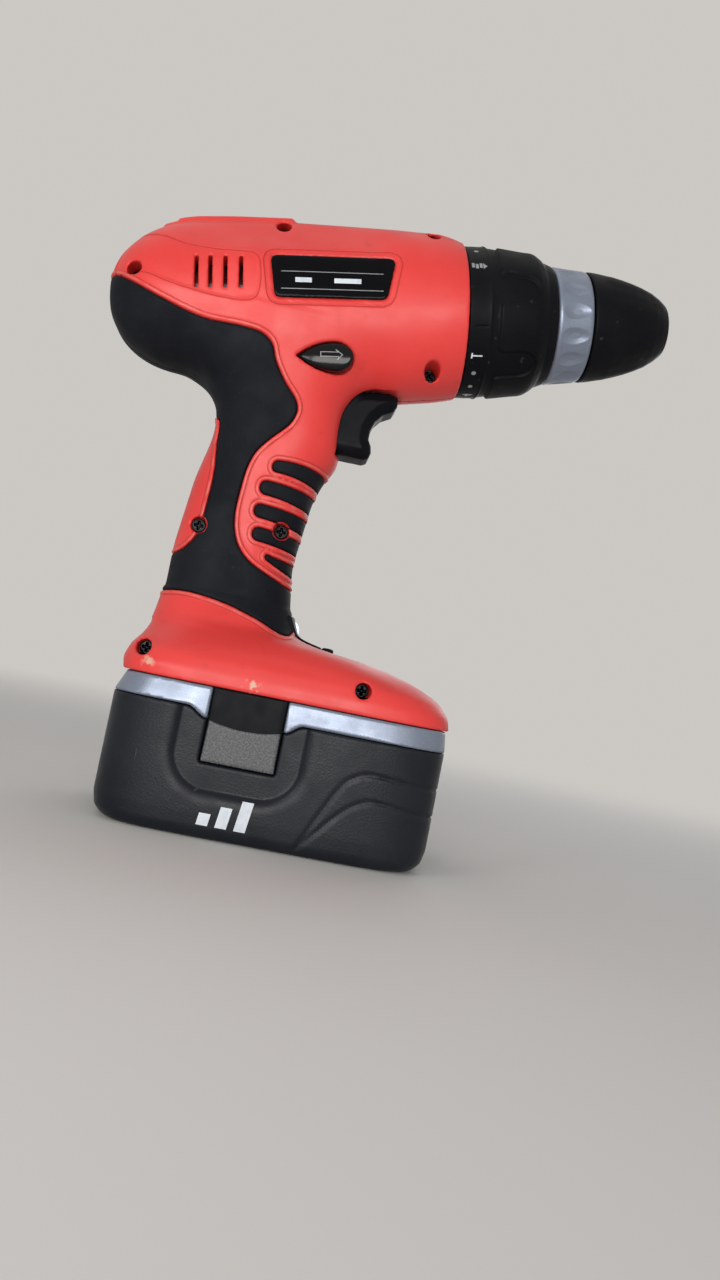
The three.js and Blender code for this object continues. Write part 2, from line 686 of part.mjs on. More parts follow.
/** The finger stripes, joined by a strip down the front of the grip. */
const fingerPad = (side) => cut(
  body(0).subtract(body(rubberDepth)).intersect(join(...stripePlates(0, side))),
  rodY(fingerScrew.x, fingerScrew.z, -packWidth, packWidth, screwHeadRadius + 2 * gap, roundHole),
);

for (const [name, side] of sides) {
  add(drill, `housing_${name}`, housingHalf(side), redPlastic);
  add(drill, `overmould_${name}`, overmould(side), rubber);
  add(drill, `finger_pad_${name}`, fingerPad(side), rubber);
}

add(barrel, 'rating_label', ratingLabel(), glossyBlack);

function ratingLabel() {
  const limits = [body(0.1), body(labelDepth)];
  const inBarrel = new THREE.Matrix4().copy(barrelFrame).invert();
  const patch = limits[0].subtract(limits[1])
    .intersect(plate(labelOutline, -packWidth, 0, barrelFrame));
  return solid(geometryOf(patch), inBarrel);
}

screwPlaces.forEach(({ x, z, head }, i) => {
  const screw = join(
    rodY(x, z, -head, -head + screwHeadHeight, screwHeadRadius, roundHole),
    rodY(x, z, -head + 0.5, screwReach, screwShankRadius * 0.9, smallHole),
  );
  const cross = [box(x - 1.8, x + 1.8, -head - 1, -head + 1, z - 0.35, z + 0.35),
    box(x - 0.35, x + 0.35, -head - 1, -head + 1, z - 1.8, z + 1.8)];
  add(drill, `housing_screw_${i + 1}`, cut(screw, ...cross), darkSteel);
});

// ---- Trigger, switch, direction selector, contacts, lamp -------------------------------------

const along = (x, y, z) => new THREE.Matrix4().makeTranslation(x, y, z);

add(drill, 'trigger', plate(triggerOutline, -triggerHalfWidth, triggerHalfWidth), blackPlastic);
add(drill, 'trigger_spring', spring(
  switchFront + gap, triggerBack - gap, 3, 0.5, 3, along(0, 0, 98),
), steel);
add(drill, 'switch_body', join(
  box(switchBack, switchFront, -switchHalfWidth, switchHalfWidth, switchBottom, switchTop),
  box(switchBack + 5, switchFront - 5, -4, 4, switchTop - 1, switchTop + 2.5),
), blackPlastic);

const selectorReach = 25;
const selectorCap = 4;
const selectorBarHalf = 3.1;
add(barrel, 'direction_selector', join(
  plate(selectorOutline, -selectorReach, -selectorReach + selectorCap),
  plate(selectorOutline, selectorReach - selectorCap, selectorReach),
  box(
    selectorU - selectorBarHalf, selectorU + selectorBarHalf,
    -selectorReach + 1, selectorReach - 1, selectorV - selectorBarHalf, selectorV + selectorBarHalf,
  ),
), glossyBlack);

add(drill, 'contact_block', join(
  box(contactBack, contactFront, -contactHalfWidth, contactHalfWidth, contactBottom, contactTop),
  box(contactBack + 4, contactFront - 4, -2, 2, contactTop - 1, contactTop + 3),
), blackPlastic);

const lampTilt = THREE.MathUtils.degToRad(40);
const lampAxis = new THREE.Matrix4().makeRotationY(-lampTilt).setPosition(lampX, 0, lampZ);
add(drill, 'lamp_bezel', cut(
  plate(lampOutline, -lampHalfWidth, lampHalfWidth).intersect(body(0)),
  disc(-8, 8, ledRadius + gap, 12, lampAxis),
), blackPlastic);
add(drill, 'led_lens', disc(-5, 0.4, ledRadius, 12, lampAxis), lamp);

const chargeButtonTop = 21;
add(drill, 'charge_button', join(
  rodZ(chargeButtonX, 0, 12, chargeButtonTop, buttonRadius, 12),
  rodZ(chargeButtonX, 0, 12, 13.2, buttonRadius + 1.5, 12),
), blackPlastic);

// ---- Motor -----------------------------------------------------------------------------------

const motorFront = motorBack + motorLength;
const canWall = 4.6; // steel with the magnets on its inside
const canLid = 1.2;
const rotorRadius = 12.7;
const rotorBack = motorBack + 11;
const rotorFront = rotorBack + 32;
const endCapLength = 5;
const bearingLength = 4;
const shaftBack = motorBack - gap - endCapLength - bearingLength + 1;
const planet1X = -gearcaseLength + 2.1;
const carrier1X = planet1X + gearWidth + gap;
const shaftFront = carrier1X - gap;

add(barrel, 'motor_can', turned([
  [motorBack, motorRadius - canWall], [motorBack, motorRadius], [motorFront, motorRadius],
  [motorFront, shaftRadius + 3], [motorFront - canLid, shaftRadius + 3],
  [motorFront - canLid, motorRadius - canWall],
], 24), steel);
add(barrel, 'motor_end_cap', turned([
  [motorBack - gap, shaftRadius + gap], [motorBack - gap, motorRadius - 0.5],
  [motorBack - gap - endCapLength, motorRadius - 1.5], [motorBack - gap - endCapLength, 5],
  [motorBack - gap - endCapLength - bearingLength, 5],
  [motorBack - gap - endCapLength - bearingLength, shaftRadius + gap],
], 24), blackPlastic);

const poles = 5;
const rotorOutline = Array.from({ length: poles }, (_, pole) => (
  [[-0.42, rotorRadius], [0, rotorRadius], [0.42, rotorRadius], [0.42, 9], [0.47, 6], [0.53, 6], [0.58, 9]]
    .map(([share, radius]) => {
      const angle = ((2 * Math.PI) / poles) * (pole + share);
      return [radius * Math.cos(angle), radius * Math.sin(angle)];
    })
)).flat();
add(barrel, 'armature', join(
  disc(shaftBack, shaftFront, shaftRadius, 12),
  plateX(rotorOutline, rotorBack, rotorFront),
  disc(rotorBack - 4, rotorBack + 1, rotorRadius - 3, 16),
  disc(rotorFront - 1, rotorFront + 4, rotorRadius - 3, 16),
  disc(motorBack + 1, rotorBack - 3, 6, 16),
), copper);

const fanBack = rotorFront + 5;
const fanLength = 5;
const fanBlades = 6;
add(barrel, 'cooling_fan', cut(
  join(
    disc(fanBack, fanBack + fanLength, 4, 16),
    disc(fanBack, fanBack + 1, rotorRadius - 0.4, 20),
    ...Array.from({ length: fanBlades }, (_, i) => box(
      fanBack, fanBack + fanLength, 2, rotorRadius - 1, -0.5, 0.5,
      new THREE.Matrix4().makeRotationX((2 * Math.PI * i) / fanBlades),
    )),
  ),
  disc(fanBack - 1, fanBack + fanLength + 1, shaftRadius + gap, 12),
), nylon);
add(barrel, 'motor_pinion', plateX(
  toothOutline(sunTeeth, 0), planet1X, planet1X + gearWidth - gap, [circle(shaftRadius + gap, 12)],
), steel);

// ---- Planet gearbox --------------------------------------------------------------------------

const ringOuter = gearcaseRadius - gearcaseWall - gap;
const carrierRadius = pitchRadius(ringTeeth) - addendum - 0.6;
const ring2Length = 11;
const ring2Back = shiftU - ring2Length / 2;
const planet2X = ring2Back + 0.7;
const carrier2X = planet2X + gearWidth + gap;
const carrier1Front = carrier1X + carrierThickness;
const spindleFront = 47.7;

add(barrel, 'gearbox_case', cut(
  turned([
    [-gearcaseLength, 6.5], [-gearcaseLength, gearcaseRadius], [-1.5, gearcaseRadius],
    [-1.5, neckRadius], [neckLength, neckRadius], [neckLength, spindleRadius + 3.7],
    [-4, spindleRadius + 3.7], [-4, gearcaseRadius - gearcaseWall],
    [-gearcaseLength + 1.2, gearcaseRadius - gearcaseWall], [-gearcaseLength + 1.2, 6.5],
  ], 28),
  box(
    shiftU - shiftStemHalfLength - shiftTravel - gap, shiftU + shiftStemHalfLength + gap,
    -shiftStemHalfWidth - gap, shiftStemHalfWidth + gap, 15, 30,
  ),
), nylon);
const ringPhase = ((planetTeeth % 2) * Math.PI) / ringTeeth;
const ringGear = (x0, x1) => plateX(
  circle(ringOuter, 28), x0, x1, [toothOutline(ringTeeth, ringPhase, true)],
);
add(barrel, 'ring_gear_1', ringGear(planet1X - 0.6, carrier1X - gap), steel);
add(barrel, 'ring_gear_2', cut(
  ringGear(ring2Back, ring2Back + ring2Length),
  tube(
    shiftU - shiftStemHalfLength - gap, shiftU + shiftStemHalfLength + gap,
    ringOuter - 0.5, ringOuter + 1, 28,
  ),
), steel);
planetAngles.forEach((angle, i) => {
  for (const [stage, x0] of [[1, planet1X], [2, planet2X]]) {
    const gear = add(barrel, `planet_gear_${stage}_${i + 1}`, planetGear(x0, angle), steel);
    gear.position.set(0, planetOrbit * Math.cos(angle), planetOrbit * Math.sin(angle));
  }
});
add(barrel, 'planet_carrier_1', carrier(
  carrier1X, carrierRadius, plateX(toothOutline(sunTeeth, 0), carrier1Front - gap, carrier2X - gap),
), darkSteel);
add(barrel, 'spindle', carrier(carrier2X, carrierRadius, cut(
  disc(carrier2X + 1, spindleFront, spindleRadius, 24),
  disc(spindleFront - 12, spindleFront + 1, 2.7, 12),
)), steel);
add(barrel, 'spindle_bearing', tube(
  neckLength - 11, neckLength - 1, spindleRadius + gap, spindleRadius + 3.7 - gap, 24,
), steel);

const forkTop = barrelTop - 5.6;
add(barrel, 'speed_selector', join(
  box(
    shiftU - shiftKnobLength / 2, shiftU + shiftKnobLength / 2,
    -shiftKnobHalfWidth, shiftKnobHalfWidth, shiftPitFloor + gap, barrelTop - 1.8,
  ),
  box(shiftU - 1, shiftU + 1, -shiftKnobHalfWidth, shiftKnobHalfWidth, barrelTop - 2.5, barrelTop - 1),
  box(
    shiftU - shiftStemHalfLength, shiftU + shiftStemHalfLength,
    -shiftStemHalfWidth, shiftStemHalfWidth, forkTop, shiftPitFloor + 1,
  ),
), blackPlastic);
add(barrel, 'shift_fork', box(
  shiftU - shiftStemHalfLength, shiftU + shiftStemHalfLength,
  -shiftStemHalfWidth, shiftStemHalfWidth, ringOuter - 0.2, forkTop - gap,
), steel);

// ---- Torque collar and chuck -----------------------------------------------------------------

const collarRadius = barrelRadius - collarPadHeight;
const collarWall = 2;
const collarFrontWall = 27;
const collarTaper = 1.8; // how much less the radius is at the front of the pads
const padRing = (x, radius) => Array.from({ length: collarPadCount }, (_, pad) => (
  [[-0.31, 0], [-0.28, 1], [-0.14, 1], [0, 1], [0.14, 1], [0.28, 1], [0.31, 0], [0.5, 0]]
    .map(([share, raised]) => {
      const angle = collarPadTurn + ((2 * Math.PI) / collarPadCount) * (pad + share);
      const reach = radius - 0.6 + (collarPadHeight + 0.6) * raised;
      return new THREE.Vector3(x, reach * Math.cos(angle), reach * Math.sin(angle));
    })
)).flat();
add(barrel, 'torque_collar', cut(
  join(
    turned([
      [gap, 0], [gap, collarRadius + 0.5], [7, collarRadius + 0.5], [7.6, collarRadius],
      [24.5, collarRadius - collarTaper], [29, collarRadius - 3], [29.8, collarRadius - 3.8],
      [collarLength, collarRadius - 5.2], [collarLength, 0],
    ], 32),
    solid(loft([padRing(8, collarRadius), padRing(24.5, collarRadius - collarTaper)])),
  ),
  disc(-1, collarFrontWall - 2.5, collarRadius - collarTaper - collarWall, 28),
  disc(0, collarFrontWall, collarRadius - collarTaper - 4.5, 28),
  disc(collarFrontWall - 1, collarLength + 1, neckRadius + gap, 20),
), rubber);
add(barrel, 'clutch_spring', spring(-1.2, collarFrontWall - gap, neckRadius + 4, 1.2, 5), steel);

const chuckRingBack = collarLength + 0.5;
const chuckRingFront = chuckRingBack + chuckRingLength;
const chuckRingRadius = 21.5;
const chuckFlangeRadius = 17;
const chuckBodyRadius = 13.2;
const sleeveBack = chuckRingFront + 0.5;
const sleeveFront = sleeveBack + sleeveLength;
const chuckBodyFront = sleeveFront - 1.9;
add(barrel, 'chuck_ring', turned([
  [chuckRingBack, chuckFlangeRadius + gap], [chuckRingBack, chuckRingRadius - 0.7],
  [chuckRingBack + 0.8, chuckRingRadius], [chuckRingFront - 1, chuckRingRadius - 1.2],
  [chuckRingFront, chuckRingRadius - 1.7], [chuckRingFront, chuckFlangeRadius + gap],
], 28), silverPlastic);

const jawTip = sleeveFront - 5;
const jawBack = sleeveBack + 1.5;
const jawOffset = 0.9; // of the rod's axis outside the gripping face at the tip
const jawAngles = Array.from({ length: jawCount }, (_, i) => Math.PI / 2 + (2 * Math.PI * i) / jawCount);
const jawTilt = (angle) => new THREE.Matrix4()
  .makeRotationX(angle - Math.PI / 2)
  .multiply(new THREE.Matrix4().makeTranslation(jawTip, 0, jawOpening / 2 + jawOffset))
  .multiply(new THREE.Matrix4().makeRotationY(jawAngle));
const jawRod = (angle, radius, segments = 10) => disc(
  jawBack - jawTip - 6, 25, radius, segments, jawTilt(angle),
);
const jawTravel = 15;
const jawClosing = jawTravel * Math.sin(jawAngle);

function jaw(angle) {
  const face = jawOpening / 2;
  const faceHalf = (face - jawClosing - 0.15) * Math.tan(Math.PI / jawCount);
  const flare = (5 - faceHalf) / Math.tan(Math.PI / jawCount);
  const keep = plateX(
    [[-faceHalf, face], [faceHalf, face], [5, face + flare], [5, 25], [-5, 25], [-5, face + flare]],
    jawBack, jawTip,
  );
  const turn = new THREE.Matrix4().makeRotationX(angle - Math.PI / 2);
  return jawRod(angle, jawRadius).intersect(solid(geometryOf(keep), turn));
}

add(barrel, 'chuck_body', cut(
  turned([
    [30.5, spindleRadius + gap], [30.5, 12], [chuckRingBack, 12],
    [chuckRingBack, chuckFlangeRadius], [chuckRingFront - gap, chuckFlangeRadius],
    [chuckRingFront - gap, chuckBodyRadius], [sleeveFront - 16, chuckBodyRadius],
    [sleeveFront - 10, chuckBodyRadius - 0.4], [sleeveFront - 6, chuckBodyRadius - 1.8],
    [sleeveFront - 3, chuckBodyRadius - 3.2], [chuckBodyFront, chuckBodyRadius - 4],
    [chuckBodyFront, jawOpening / 2 + 0.9], [50.5, jawOpening / 2 + 0.9], [50.5, 2.7], [48, 2.7],
    [48, spindleRadius + gap],
  ], 20),
  ...jawAngles.map((angle) => jawRod(angle, jawRadius + gap)),
), steel);
add(barrel, 'chuck_screw', join(
  disc(50.8, 53.8, 4.4, 12),
  disc(spindleFront - 11, 51, 2.4, 12),
), darkSteel);
jawAngles.forEach((angle, i) => add(barrel, `jaw_${i + 1}`, jaw(angle), steel));

const nutBack = sleeveBack + 8;
const nutLength = 4;
const nutOuter = 17;
add(barrel, 'chuck_nut', tube(nutBack, nutBack + nutLength, nutOuter - 1.2, nutOuter, 28), darkSteel);
add(barrel, 'front_sleeve', turned([
  [sleeveBack, chuckBodyRadius + gap], [sleeveBack, 20.2], [sleeveBack + 2, 20],
  [sleeveBack + 9, 19.3], [sleeveFront - 14.5, 17.2], [sleeveFront - 6.5, 14],
  [sleeveFront - 3, 11.7], [sleeveFront - 1, 10.2], [sleeveFront, 9.4],
  [sleeveFront, 8.5], [sleeveFront - 1.6, 8.5], [sleeveFront - 1.6, 9.5],
  [sleeveFront - 3, chuckBodyRadius - 2.9], [sleeveFront - 6, chuckBodyRadius - 1.5],
  [sleeveFront - 10, chuckBodyRadius - 0.1], [sleeveFront - 16, chuckBodyRadius + 1.4],
  [nutBack + nutLength + gap, nutOuter - 1], [nutBack + nutLength + gap, nutOuter + gap],
  [sleeveBack + 1, nutOuter + 1.2], [sleeveBack + 1, chuckBodyRadius + gap],
], 24), rubber);

// ---- Battery pack ----------------------------------------------------------------------------

const packEnd = packLength / 2;
const packSide = packWidth / 2;
const packRing = (z, end, side, shift = 0) => oval(end, side, packCorner, 32)
  .map(([x, y]) => new THREE.Vector3(x + shift, y, z));
const latchFront = 0.8;
const latchBack = latchFront - latchLength;
const latchBottom = caseHeight + bandHeight - latchHeight;
const latchInner = packSide - 3;
const recessDepth = 1.3;
const recessSide = 9; // of the recess on each side of the latch
const recessRadius = 12;
const recessBottom = 16;

const latchRecess = (side) => {
  const [x0, x1] = [latchBack - recessSide, latchFront + recessSide - 2];
  const outline = roundedBox(x0, x1, recessBottom, caseHeight + 20, recessRadius, 4);
  const depths = [packSide - recessDepth, packSide + 5];
  return plate(outline, ...(side < 0 ? [-depths[1], -depths[0]] : depths));
};
const latchWindow = box(
  latchBack - gap, latchFront + gap, -packWidth, packWidth, latchBottom - gap, caseHeight + bandHeight + 5,
);
const latchReach = latchInner - latchTravel - gap; // nearest to the middle, when it is pressed
const beyondLatch = box(-packLength, packLength, -latchReach, latchReach, 0, 60);

add(battery, 'battery_case', cut(
  solid(loft([
    packRing(0, packEnd - 5.5, packSide - 2.4), packRing(1, packEnd - 3.2, packSide - 1.1),
    packRing(3.4, packEnd - 1, packSide - 0.2), packRing(8, packEnd, packSide),
    packRing(caseHeight, packEnd, packSide),
  ])),
  solid(loft([
    packRing(packWall, packEnd - packWall - 2.6, packSide - packWall - 0.6),
    packRing(packWall + 1.8, packEnd - packWall - 0.4, packSide - packWall),
    packRing(caseHeight + 1, packEnd - packWall, packSide - packWall),
  ])),
  latchRecess(-1), latchRecess(1), cut(latchWindow, beyondLatch),
), blackPlastic);

const towerX = -30;
const towerHalfLength = 13.6;
const towerHalfWidth = 13;
const seamZ = caseHeight + bandHeight;
const towerTop = seamZ + gap + towerHeight;
const towerRing = (z, inset) => oval(towerHalfLength - inset, towerHalfWidth - inset, 4.5, 24)
  .map(([x, y]) => new THREE.Vector3(x + towerX, y, z));
add(battery, 'battery_cover', cut(
  join(
    solid(loft([
      packRing(caseHeight + gap, packEnd, packSide),
      packRing(seamZ, packEnd - 1.9, packSide - 0.9, 1),
    ])),
    solid(loft([towerRing(seamZ - 1, 0), towerRing(towerTop - 2, 0), towerRing(towerTop, 1.2)])),
  ),
  solid(loft([
    packRing(caseHeight - 1, packEnd - packWall, packSide - packWall),
    packRing(seamZ - 2, packEnd - packWall - 1, packSide - packWall - 0.6),
  ])),
  solid(loft([towerRing(seamZ - 3, 2.1), towerRing(towerTop - 2.1, 2.1)])),
  cut(latchWindow, beyondLatch),
), silverPlastic);

const cellsLong = 5;
const cellsWide = 3;
const endSpace = 3.5; // between the cells and the pack's ends
const sideSpace = 7.3; // between the cells and the pack's sides, for the latches
const cellPitch = Math.min(
  (packLength - 2 * endSpace) / cellsLong,
  (packWidth - 2 * sideSpace) / cellsWide,
);
const cellRadius = cellPitch / 2 - 0.1;
const cellBottom = packWall + 1.8;
const cellTop = seamZ - 3;
const cellPlaces = [-1, 0, 1].flatMap((row) => {
  const count = row === 0 ? cellsLong - 1 : cellsLong;
  return Array.from({ length: count }, (_, i) => [(i - (count - 1) / 2) * cellPitch, row * cellPitch]);
});
add(battery, 'cell_pack', join(
  box(-packEnd + 10, packEnd - 10, -cellPitch - 5, cellPitch + 5, cellTop - 0.5, cellTop + 0.7),
  ...cellPlaces.map(([x, y]) => rodZ(x, y, cellBottom, cellTop, cellRadius, 12)),
  rodZ(towerX, 0, cellTop, towerTop - 5.8, cellRadius, 12),
), cellWrap);

for (const [name, side] of sides) {
  const [near, far] = [latchInner, latchInner + latchThickness];
  const [y0, y1] = side < 0 ? [-far, -near] : [near, far];
  add(battery, `latch_${name}`, cut(
    plate(roundedBox(latchBack, latchFront, latchBottom, seamZ, 1.5, 2), y0, y1),
    box(
      latchBack - 1, latchFront + 1, side < 0 ? -far - 1 : far - 0.5, side < 0 ? -far + 0.5 : far + 1,
      seamZ - 10.7, seamZ + 1,
    ),
  ), blackPlastic);
  const springEnd = latchInner - gap;
  const quarter = new THREE.Matrix4().makeRotationZ((side * Math.PI) / 2);
  quarter.setPosition((latchBack + latchFront) / 2 + 0.5, 0, latchBottom + 9);
  add(battery, `latch_spring_${name}`, spring(springEnd - 5.5, springEnd, 2.4, 0.45, 2.5, quarter), steel);
}

const object = new THREE.Group();
object.add(battery, drill);
export default object;
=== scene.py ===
"""The looks of the cordless drill driver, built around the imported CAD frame.

Lengths are millimetres in the part's own frame until a mesh is made. The barrel has its own
frame: u along the spindle's axis from the barrel's front edge, v up across it, y as in the part.
Moulded pieces are signed distance fields, negative inside, turned into meshes by surface nets.
"""

import math
from functools import reduce

import bpy
import numpy as np
from mathutils import Matrix, Vector


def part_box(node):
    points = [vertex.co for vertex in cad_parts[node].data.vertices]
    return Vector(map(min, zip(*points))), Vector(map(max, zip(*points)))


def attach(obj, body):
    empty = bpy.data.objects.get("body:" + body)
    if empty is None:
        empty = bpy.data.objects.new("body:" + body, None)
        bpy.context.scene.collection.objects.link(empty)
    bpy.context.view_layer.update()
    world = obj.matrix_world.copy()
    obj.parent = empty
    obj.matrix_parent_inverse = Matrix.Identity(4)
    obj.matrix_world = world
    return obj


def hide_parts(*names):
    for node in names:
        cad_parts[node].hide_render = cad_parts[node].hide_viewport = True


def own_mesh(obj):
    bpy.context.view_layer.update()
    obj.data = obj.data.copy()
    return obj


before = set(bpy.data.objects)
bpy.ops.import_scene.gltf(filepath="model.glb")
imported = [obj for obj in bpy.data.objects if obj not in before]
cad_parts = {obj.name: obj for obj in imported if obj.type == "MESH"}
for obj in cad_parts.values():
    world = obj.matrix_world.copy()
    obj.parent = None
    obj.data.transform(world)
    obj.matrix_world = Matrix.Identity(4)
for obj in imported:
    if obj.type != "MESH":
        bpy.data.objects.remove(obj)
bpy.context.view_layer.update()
MM = 0.001

# ---- Camera and lamps ----


def added(name, data):
    """A new object in the scene."""
    made = bpy.data.objects.new(name, data)
    bpy.context.scene.collection.objects.link(made)
    return made


def place_camera():
    """The photograph's viewpoint, from the drill's right side."""
    right = Vector((0.97655, -0.08716, 0.19687))
    down = Vector((0.20051, 0.03500, -0.97907))
    forward = Vector((0.07844, 0.99558, 0.05165))
    place = Vector((-6.24, -369.4, 56.8)) * MM
    camera = added("camera", bpy.data.cameras.new("camera"))
    camera.data.sensor_fit = "VERTICAL"
    camera.data.sensor_height = 36
    camera.data.lens = 28.125
    camera.data.clip_start = 0.01
    turn = Matrix((right, -down, -forward)).transposed().to_4x4()
    camera.matrix_world = Matrix.Translation(place) @ turn
    bpy.context.scene.camera = camera


def area_light(name, place, target, size, power, color=(1, 1, 1)):
    light = bpy.data.lights.new(name, "AREA")
    light.shape = "RECTANGLE"
    light.size, light.size_y = size
    light.energy = power
    light.color = color
    lamp = added(name, light)
    lamp.location = place
    lamp.rotation_euler = (Vector(target) - Vector(place)).to_track_quat("-Z", "Y").to_euler()


place_camera()
bpy.context.scene.view_settings.view_transform = "Standard"
area_light("key_light", (-0.08, -1.1, 0.12), (0, 0, 0.12), (0.7, 0.5), 10, (1, 0.985, 0.96))
area_light("top_light", (-0.3, 0.1, 1.2), (0, 0, 0.1), (1.2, 1.2), 1.5, (1, 0.99, 0.97))
area_light("back_light", (0.5, 1.1, 0.6), (0, 0, 0.12), (0.9, 0.9), 3.2, (0.96, 0.98, 1))
area_light("side_light", (-0.24, -0.36, 0.17), (0, 0, 0.14), (0.12, 0.12), 0.3)

# ---- Materials ----


class Nodes:
    """A node tree and a short way to add nodes to it."""

    def __init__(self, tree):
        self.tree = tree

    def give(self, socket, value):
        """Links another node's output to a socket, or sets a constant on it."""
        if isinstance(value, bpy.types.NodeSocket):
            self.tree.links.new(value, socket)
        else:
            socket.default_value = value

    def node(self, kind, output, inputs, **settings):
        """Adds a node and returns one of its outputs."""
        made = self.tree.nodes.new("ShaderNode" + kind)
        for key, value in settings.items():
            setattr(made, key, value)
        for key, value in inputs.items():
            self.give(made.inputs[key], value)
        return made.outputs[output]

    def math(self, operation, a, b=0):
        return self.node("Math", 0, {0: a, 1: b}, operation=operation)

    def times(self, a, b):
        return self.math("MULTIPLY", a, b)

    def mix(self, factor, a, b):
        return self.node("Mix", "Result", {"Factor": factor, "A": a, "B": b}, data_type="RGBA")

    def seen_rays(self):
        """1 for the rays that show a background: straight, mirrored or through glass."""
        rays = self.tree.nodes.new("ShaderNodeLightPath").outputs
        seen = self.math("MAXIMUM", rays["Is Camera Ray"], rays["Is Glossy Ray"])
        return self.math("MAXIMUM", seen, rays["Is Transmission Ray"])


class Shader(Nodes):
    """A Principled material with helpers for the nodes that drive it."""

    def __init__(self, name, color, roughness, metallic=0.0, level=0.5):
        self.material = bpy.data.materials.new(name)
        self.material.use_nodes = True
        super().__init__(self.material.node_tree)
        self.bsdf = self.tree.nodes["Principled BSDF"]
        self.place = self.node("TexCoord", "Object", {})
        self.color = (*color, 1)
        self.normal = None
        self.drive("Base Color", self.color)
        self.drive("Roughness", roughness)
        self.drive("Metallic", metallic)
        self.drive("Specular IOR Level", level)

    def drive(self, key, value):
        self.give(self.bsdf.inputs[key], value)

    def noise(self, scale, detail, stretch=None):
        place = self.place
        if stretch:
            place = self.node("Mapping", "Vector", {"Scale": stretch, "Vector": place})
        return self.node("TexNoise", "Fac", {"Scale": scale, "Detail": detail, "Vector": place})

    def cells(self, scale):
        return self.node("TexVoronoi", "Distance", {"Scale": scale, "Vector": self.place})

    def steps(self, source, low, high, out_low=0.0, out_high=1.0):
        inputs = {
            "Value": source, "From Min": low, "From Max": high, "To Min": out_low, "To Max": out_high,
        }
        return self.node("MapRange", "Result", inputs, interpolation_type="SMOOTHSTEP")

    def near(self, centre, reach, softness):
        """1 close to a point of the part, 0 beyond reach."""
        point = [c * MM for c in centre]
        away = self.node("VectorMath", "Value", {0: self.place, 1: point}, operation="DISTANCE")
        return self.steps(away, reach * MM, (reach - softness) * MM)

    def axis(self, index, low, high):
        """0 to 1 as the place along one axis goes from low to high millimetres."""
        place = self.node("SeparateXYZ", index, {0: self.place})
        if index == 1:
            place = self.math("ABSOLUTE", place)
        return self.steps(place, low * MM, high * MM)

    def line(self, attribute, middle, half):
        """1 where a stored distance in millimetres is near middle, 0 beyond half."""
        stored = self.node("Attribute", "Fac", {}, attribute_name=attribute)
        away = self.math("ABSOLUTE", self.math("SUBTRACT", stored, middle))
        return self.steps(away, half, half * 0.3)

    def tint(self, factor, color):
        """Mixes another colour into the base colour where factor is high."""
        self.color = self.mix(factor, self.color, (*color, 1))
        self.drive("Base Color", self.color)

    def mottle(self, scale, detail, low, high, color, amount=1.0):
        """Tints where a noise is high."""
        self.tint(self.steps(self.noise(scale, detail), low, high, 0, amount), color)

    def rough(self, scale, detail, low, high):
        """Roughness between low and high, driven by a noise."""
        self.drive("Roughness", self.steps(self.noise(scale, detail), 0.25, 0.75, low, high))

    def bump(self, height, strength, distance):
        """Adds a relief whose depth is distance millimetres."""
        inputs = {"Strength": strength, "Distance": distance * MM, "Height": height}
        if self.normal:
            inputs["Normal"] = self.normal
        self.normal = self.node("Bump", "Normal", inputs)
        self.drive("Normal", self.normal)

    def grain(self, scale, detail, strength, distance):
        self.bump(self.noise(scale, detail), strength, distance)


def red_plastic():
    s = Shader("red_plastic", (0.80, 0.056, 0.050), 0.42, level=0.4)
    s.mottle(28, 4, 0.35, 0.75, (0.74, 0.047, 0.042))
    s.mottle(170, 6, 0.60, 0.78, (0.42, 0.030, 0.026), 0.22)
    for centre, reach in (((-46, -33, 52.6), 4.2), ((-25.5, -34, 51.2), 3.2), ((-12, -36, 51.0), 5)):
        scuff = s.times(s.near(centre, reach, 1.6), s.steps(s.noise(520, 5), 0.48, 0.6))
        s.tint(scuff, (0.72, 0.42, 0.30))
    # Painted shade on the foot's front crest: darker towards the middle, made patchy by a noise.
    front = s.times(s.axis(0, 14, 26), s.axis(2, 74, 66))
    painted_crest_shade = s.steps(s.noise(110, 8), 0.25, 0.85, 0, 0.32)
    s.tint(s.times(front, s.times(s.axis(1, 23, 12), painted_crest_shade)), (0.16, 0.04, 0.045))
    # A nearly black strip along the middle of the foot's front: the seam between the halves, widened with
    # painted shade.
    s.tint(s.times(front, s.axis(1, 1.0, 0.6)), (0.035, 0.012, 0.013))
    s.tint(s.axis(1, 0.45, 0.2), (0.16, 0.012, 0.012))
    # Painted shade: darker lines along the beads' outer step and the lowered panels' edges, beside the bumps
    # that make those steps.
    for name, middle, half, depth in (("rubber_edge", 1.75, 0.28, 0.12), ("panel_edge", 0.1, 0.35, 0.16)):
        line = s.line(name, middle, half)
        s.tint(s.times(line, 0.55), (0.36, 0.018, 0.016))
        s.bump(s.math("SUBTRACT", 1, line), 0.8, depth)
    # A pale band along the beads beside the rubber: part dust, part painted highlight on the beads.
    dust_and_bead_highlight = s.steps(s.noise(240, 5), 0.35, 0.6, 0, 0.4)
    s.tint(s.times(s.line("rubber_edge", 0.95, 0.5), dust_and_bead_highlight), (0.60, 0.24, 0.20))
    # Nearly black just beside the rubber: painted shade in the gap between rubber and housing, with dirt.
    s.tint(s.line("rubber_edge", -0.1, 0.3), (0.03, 0.008, 0.008))
    s.rough(90, 5, 0.36, 0.50)
    s.grain(2100, 2, 0.35, 0.03)
    s.grain(60, 3, 0.12, 0.25)
    return s.material


def rubber():
    s = Shader("rubber", (0.0058, 0.0072, 0.0108), 0.62, level=0.11)
    s.mottle(40, 5, 0.4, 0.75, (0.011, 0.0125, 0.0165))
    s.mottle(900, 4, 0.62, 0.8, (0.045, 0.047, 0.05), 0.35)
    s.rough(120, 4, 0.55, 0.72)
    s.grain(1700, 2, 0.45, 0.05)
    return s.material


